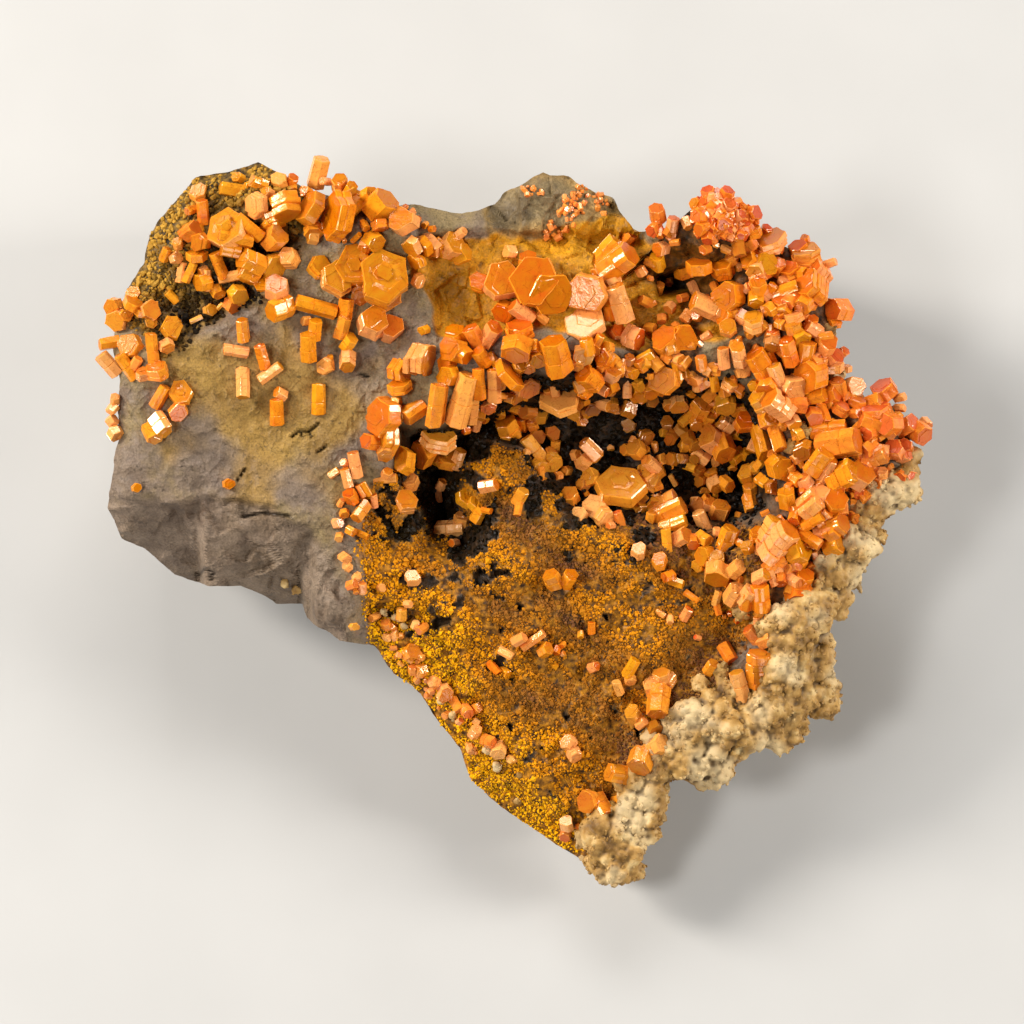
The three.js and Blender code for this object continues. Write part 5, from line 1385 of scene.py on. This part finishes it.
def add(tree, kind, inputs=None, stops=(), out=0, **settings):
    """A node with its settings, its input values or links, and a ramp's stops; gives one of its outputs."""
    made = tree.nodes.new(kind)
    for key, value in settings.items():
        setattr(made, key, value)
    for key, value in (inputs or {}).items():
        if isinstance(value, bpy.types.NodeSocket):
            tree.links.new(value, made.inputs[key])
        else:
            made.inputs[key].default_value = value
    for k, (place, code) in enumerate(stops):
        stop = made.color_ramp.elements[k] if k < 2 else made.color_ramp.elements.new(place)
        stop.position = place
        stop.color = linear(code)
    return made.outputs[out] if made.outputs else None


def per(size):
    """A texture scale that repeats at a size in millimetres."""
    return 1 / (size * METRES)


def vanadinite_material():
    """Vanadinite, grown as glassy to resinous prisms. End faces are satin and deep orange; sides are glossy,
    with a painted sheen that makes them paler, a painted highlight along the bevelled edges, and a painted
    peach sheen on some. Colour drifts within a crystal, and fine flaws show red."""
    material, tree = new_material("vanadinite")
    where = add(tree, GEOMETRY, out="Position")
    cap, hue, pale, brown, frosted = [
        add(tree, ATTRIBUTE, out="Fac", attribute_name=key) for key in CRYSTAL_VALUES
    ]
    drift = add(tree, NOISE, {"Vector": where, "Scale": per(HUE_DRIFT_SIZE), "Detail": 3.0})
    fine = add(tree, NOISE, {"Vector": where, "Scale": per(CRYSTAL_PIT_SIZE), "Detail": 4.0})
    flaw = add(tree, NOISE, {"Vector": where, "Scale": per(FLAW_SIZE), "Detail": 4.0, "Distortion": 0.6})
    moved = add(tree, MATH, {0: drift, 1: 0.6, 2: hue}, operation="MULTIPLY_ADD")
    level = add(tree, MATH, {0: moved, 1: 0.30}, operation="SUBTRACT")
    colour = add(tree, RAMP, {"Fac": level}, VANADINITE_RAMP)
    deep = add(tree, MATH, {0: cap, 1: 0.42}, operation="MULTIPLY")
    # Painted sheen on the sides, stronger where the colour drifts up, and painted highlight along the bevels
    # between end faces and sides.
    side = add(tree, RANGE, {0: cap, 3: 0.9, 4: 0.0})
    side_sheen_and_edge_highlight = add(tree, MATH, {0: drift, 1: side}, operation="MULTIPLY")
    edge_highlight = add(tree, MATH, {0: cap, 1: 0.5}, operation="SUBTRACT")
    edge_highlight = add(tree, MATH, {0: edge_highlight}, operation="ABSOLUTE")
    edge_highlight = add(tree, RANGE, {0: edge_highlight, 1: 0.0, 2: 0.5, 3: 0.6, 4: 0.0})
    side_sheen_and_edge_highlight = add(tree, MATH, {0: side_sheen_and_edge_highlight, 1: edge_highlight}, operation="ADD", use_clamp=True)
    # Painted sheen: pale peach over the sides of some crystals, none on their end faces.
    sheen = add(tree, RANGE, {0: cap, 3: 0.42, 4: 0.0})
    sheen = add(tree, MATH, {0: frosted, 1: sheen}, operation="MULTIPLY")
    pitted = add(tree, RANGE, {0: fine, 1: 0.54, 2: 0.78, 3: 0.0, 4: 0.5})
    line = add(tree, MATH, {0: flaw, 1: 0.5}, operation="SUBTRACT")
    line = add(tree, MATH, {0: line}, operation="ABSOLUTE")
    crack = add(tree, RANGE, {0: line, 1: 0.0, 2: 0.012, 3: 0.5, 4: 0.0})
    layers = (
        (deep, END_ORANGE), (side_sheen_and_edge_highlight, SIDE_SHEEN_ORANGE), (sheen, SHEEN_PEACH), (pale, PALE_PEACH),
        (brown, STAIN_AND_SHADE_BROWN), (pitted, PIT_ORANGE), (crack, FLAW_RED),
    )
    for share, code in layers:
        colour = add(tree, MIX, {0: share, 6: colour, 7: linear(code)}, out=2, data_type="RGBA")
    satin = add(tree, RANGE, {0: cap, 3: 0.07, 4: 0.12})
    gloss = add(tree, MATH, {0: fine, 1: 0.12, 2: satin}, operation="MULTIPLY_ADD")
    swell = add(tree, MATH, {0: drift, 1: 2.0, 2: fine}, operation="MULTIPLY_ADD")
    bump = add(tree, BUMP, {"Height": swell, "Strength": 0.28, "Distance": 0.12 * METRES})
    shader = add(tree, SURFACE, {
        "Base Color": colour, "Roughness": gloss, "Normal": bump, "IOR": 1.7,
        "Specular Tint": linear(GLINT_TINT),
    })
    add(tree, OUTPUT, {"Surface": shader})
    return material


def rock_material():
    """Iron-stained carbonate rock, broken by hand: dull to satin, grey-brown, with limonite and manganese
    stains. Its dark veins and finest pits are drawn coarser than they are, so that they show."""
    material, tree = new_material("iron_stained_rock")
    where = add(tree, GEOMETRY, out="Position")
    broad = add(tree, NOISE, {"Vector": where, "Scale": per(BROAD_SIZE), "Detail": 5.0, "Roughness": 0.62})
    mottle = add(tree, NOISE, {"Vector": where, "Scale": per(MOTTLE_SIZE), "Detail": 6.0, "Roughness": 0.68})
    stony = add(tree, NOISE, {
        "Vector": where, "Scale": per(STONY_SIZE), "Detail": 4.0, "Roughness": 0.62,
        "Offset": 0.9, "Gain": 1.6,
    }, noise_type="RIDGED_MULTIFRACTAL")
    speck = add(tree, NOISE, {"Vector": where, "Scale": per(SPECK_SIZE), "Detail": 3.0})
    grit = add(tree, NOISE, {"Vector": where, "Scale": per(DUST_SIZE), "Detail": 4.0})
    vein = add(tree, NOISE, {"Vector": where, "Scale": per(VEIN_SIZE), "Detail": 6.0, "Distortion": 0.8})
    patterns = {"mottle": mottle, "speck": speck}
    colour = add(tree, RAMP, {"Fac": broad}, ROCK_RAMP)
    cool = add(tree, RANGE, {0: mottle, 1: 0.52, 2: 0.66, 3: 0.0, 4: 0.6})
    layers = [(cool, linear(COOL_GREY))]
    for surface, (dark, light, pattern, strength) in ROCK_STAINS.items():
        share = add(tree, ATTRIBUTE, out="Fac", attribute_name=surface)
        share = add(tree, MATH, {0: share, 1: strength}, operation="MULTIPLY")
        tone = add(tree, RAMP, {"Fac": patterns[pattern]}, ((STAIN_DARK, dark), (STAIN_LIGHT, light)))
        layers.append((share, tone))
    line = add(tree, MATH, {0: vein, 1: 0.5}, operation="SUBTRACT")
    line = add(tree, MATH, {0: line}, operation="ABSOLUTE")
    split = add(tree, RANGE, {0: line, 1: 0.0, 2: 0.006, 3: 1.0, 4: 0.0})
    some = add(tree, RANGE, {0: broad, 1: 0.50, 2: 0.60, 3: 0.0, 4: 0.75})
    split = add(tree, MATH, {0: split, 1: some}, operation="MULTIPLY")
    pit = add(tree, RANGE, {0: speck, 1: 0.30, 2: 0.38, 3: 0.5, 4: 0.0})
    layers += [(split, linear(VEIN_BLACK)), (pit, linear(ROCK_PIT_BROWN))]
    for share, tone in layers:
        colour = add(tree, MIX, {0: share, 6: colour, 7: tone}, out=2, data_type="RGBA")
    dust = add(tree, RANGE, {0: grit, 1: 0.32, 2: 0.68, 3: 0.74, 4: 1.18})
    colour = add(tree, MIX, {0: 1.0, 6: colour, 7: dust}, out=2, data_type="RGBA", blend_type="MULTIPLY")
    sheen = add(tree, RANGE, {0: mottle, 1: 0.3, 2: 0.7, 3: 0.42, 4: 0.68})
    bump = add(tree, BUMP, {"Height": stony, "Strength": 0.5, "Distance": 0.5 * METRES})
    shader = add(tree, SURFACE, {
        "Base Color": colour, "Roughness": sheen, "Normal": bump, "IOR": 1.5, "Specular IOR Level": 0.2,
    })
    add(tree, OUTPUT, {"Surface": shader})
    return material


def grain_material(name, stops, rim_code, rough, grit_size):
    """Goethite, limonite or manganese oxide, grown as fine dull grains: each grain its own shade, some
    nearly black, and yellow where it is limonite."""
    material, tree = new_material(name)
    where = add(tree, GEOMETRY, out="Position")
    own, rim, lump = [add(tree, ATTRIBUTE, out="Fac", attribute_name=key) for key in ("own", "rim", "lump")]
    grit = add(tree, NOISE, {"Vector": where, "Scale": per(grit_size), "Detail": 3.0})
    colour = add(tree, RAMP, {"Fac": lump}, stops)
    share = add(tree, MATH, {0: rim, 1: 0.7}, operation="MULTIPLY")
    colour = add(tree, MIX, {0: share, 6: colour, 7: linear(rim_code)}, out=2, data_type="RGBA")
    shade = add(tree, MATH, {0: grit, 1: 0.7, 2: own}, operation="MULTIPLY_ADD")
    shade = add(tree, RANGE, {0: shade, 1: 0.25, 2: 1.45, 3: 0.82, 4: 1.26})
    dark = add(tree, RANGE, {0: own, 1: 0.0, 2: 0.24, 3: 0.34, 4: 1.0})
    for tone in (shade, dark):
        colour = add(tree, MIX, {0: 1.0, 6: colour, 7: tone}, out=2, data_type="RGBA", blend_type="MULTIPLY")
    bump = add(tree, BUMP, {"Height": grit, "Strength": 0.6, "Distance": 0.2 * METRES})
    shader = add(tree, SURFACE, {
        "Base Color": colour, "Roughness": rough, "Normal": bump, "IOR": 1.5, "Specular IOR Level": 0.12,
    })
    add(tree, OUTPUT, {"Surface": shader})
    return material


def calcite_material():
    """Calcite, grown as a beaded crust: waxy, cream with chalky frost, and brown in its gaps, where the brown
    on the skin is painted shade in its recesses and dips, and on the loose grains each grain's own tone.
    """
    material, tree = new_material("calcite_crust")
    where = add(tree, GEOMETRY, out="Position")
    frost, grit = [add(tree, ATTRIBUTE, out="Fac", attribute_name=key) for key in ("frost", "grit")]
    mottle = add(tree, NOISE, {"Vector": where, "Scale": per(CALCITE_MOTTLE), "Detail": 4.0})
    fine = add(tree, NOISE, {"Vector": where, "Scale": per(CALCITE_GRIT), "Detail": 5.0, "Roughness": 0.65})
    colour = add(tree, RAMP, {"Fac": mottle}, CALCITE_RAMP)
    share = add(tree, RANGE, {0: frost, 1: 0.50, 2: 0.70, 3: 0.0, 4: 0.6})
    # On the skin, the grit value darkens recesses to brown as painted shade; on the loose grains it is each
    # grain's own tone.
    deep = add(tree, RANGE, {0: grit, 1: -0.3, 2: 0.62, 3: 0.95, 4: 0.0})
    for amount, code in ((share, FROST_CREAM), (deep, SHADE_AND_GRAIN_BROWN)):
        colour = add(tree, MIX, {0: amount, 6: colour, 7: linear(code)}, out=2, data_type="RGBA")
    bump = add(tree, BUMP, {"Height": fine, "Strength": 0.7, "Distance": 0.25 * METRES})
    shader = add(tree, SURFACE, {
        "Base Color": colour, "Roughness": 0.5, "Normal": bump, "IOR": 1.6, "Specular IOR Level": 0.25,
    })
    add(tree, OUTPUT, {"Surface": shader})
    return material


def paper_material():
    """Matt studio paper, pale and very slightly mottled."""
    material, tree = new_material("studio_paper")
    where = add(tree, GEOMETRY, out="Position")
    mottle = add(tree, NOISE, {"Vector": where, "Scale": per(PAPER_MOTTLE), "Detail": 3.0})
    tone = add(tree, RAMP, {"Fac": mottle}, PAPER_RAMP)
    shader = add(tree, SURFACE, {"Base Color": tone, "Roughness": 0.85})
    add(tree, OUTPUT, {"Surface": shader})
    return material


def make_floor():
    mesh = bpy.data.meshes.new("floor")
    corners = [(x * FLOOR_REACH, y * FLOOR_REACH, 0) for x, y in ((-1, -1), (1, -1), (1, 1), (-1, 1))]
    mesh.from_pydata(corners, [], [(0, 1, 2, 3)])
    mesh.materials.append(paper_material())
    floor = bpy.data.objects.new("floor", mesh)
    bpy.context.scene.collection.objects.link(floor)


def make_studio():
    """Soft boxes on both sides and above, and a dim even surround."""
    scene = bpy.context.scene
    for name, place, size, power, code in SOFT_BOXES:
        light = bpy.data.lights.new(name, "AREA")
        light.shape = "RECTANGLE"
        light.size, light.size_y = size
        light.energy = power
        light.color = linear(code)[:3]
        lamp = bpy.data.objects.new(name, light)
        lamp.location = place
        lamp.rotation_mode = "QUATERNION"
        lamp.rotation_quaternion = (Vector(LIT_PLACE) - Vector(place)).to_track_quat("-Z", "Y")
        scene.collection.objects.link(lamp)
    world = bpy.data.worlds.new("studio")
    world.use_nodes = True
    surround = world.node_tree.nodes["Background"]
    surround.inputs["Color"].default_value = linear(SURROUND_COLOUR)
    surround.inputs["Strength"].default_value = SURROUND_STRENGTH
    scene.world = world
    # The other view transforms make the orange pale.
    scene.view_settings.view_transform = "Standard"


def make_camera():
    """A long lens, square on to the face."""
    toward = Vector((0, -math.sin(FACE_TILT), math.cos(FACE_TILT)))
    up = Vector((0, math.cos(FACE_TILT), math.sin(FACE_TILT)))
    data = bpy.data.cameras.new("camera")
    data.sensor_width = SENSOR_WIDTH
    data.lens = data.sensor_width * CAMERA_DISTANCE / (VIEW_SIZE * MM_PER_STEP * METRES)
    data.clip_start, data.clip_end = CAMERA_NEAR, CAMERA_FAR
    camera = bpy.data.objects.new("camera", data)
    place = Vector((0, 0, FACE_HEIGHT * METRES)) + toward * CAMERA_DISTANCE
    turn = Matrix((Vector((1, 0, 0)), up, toward)).transposed()
    camera.matrix_world = Matrix.Translation(place) @ turn.to_4x4()
    bpy.context.scene.collection.objects.link(camera)
    bpy.context.scene.camera = camera


vanadinite = vanadinite_material()
make_rock(rock_material())
for name, finish, outline, surface, spacing, size, stops, rim_code, rough, grit_size, seed in GRAINS:
    grains = grain_material(finish, stops, rim_code, rough, grit_size)
    make_grains(name, outline, surface, spacing, size, seed, grains)
make_crust(calcite_material())
for cluster, crystals in CRYSTALS.items():
    make_crystals(cluster, crystals, CLUSTER_TINTS.get(cluster, PLAIN_TINT), vanadinite)
for name, druse in DRUSES.items():
    make_druse(name, *druse, vanadinite)
make_floor()
make_studio()
make_camera()
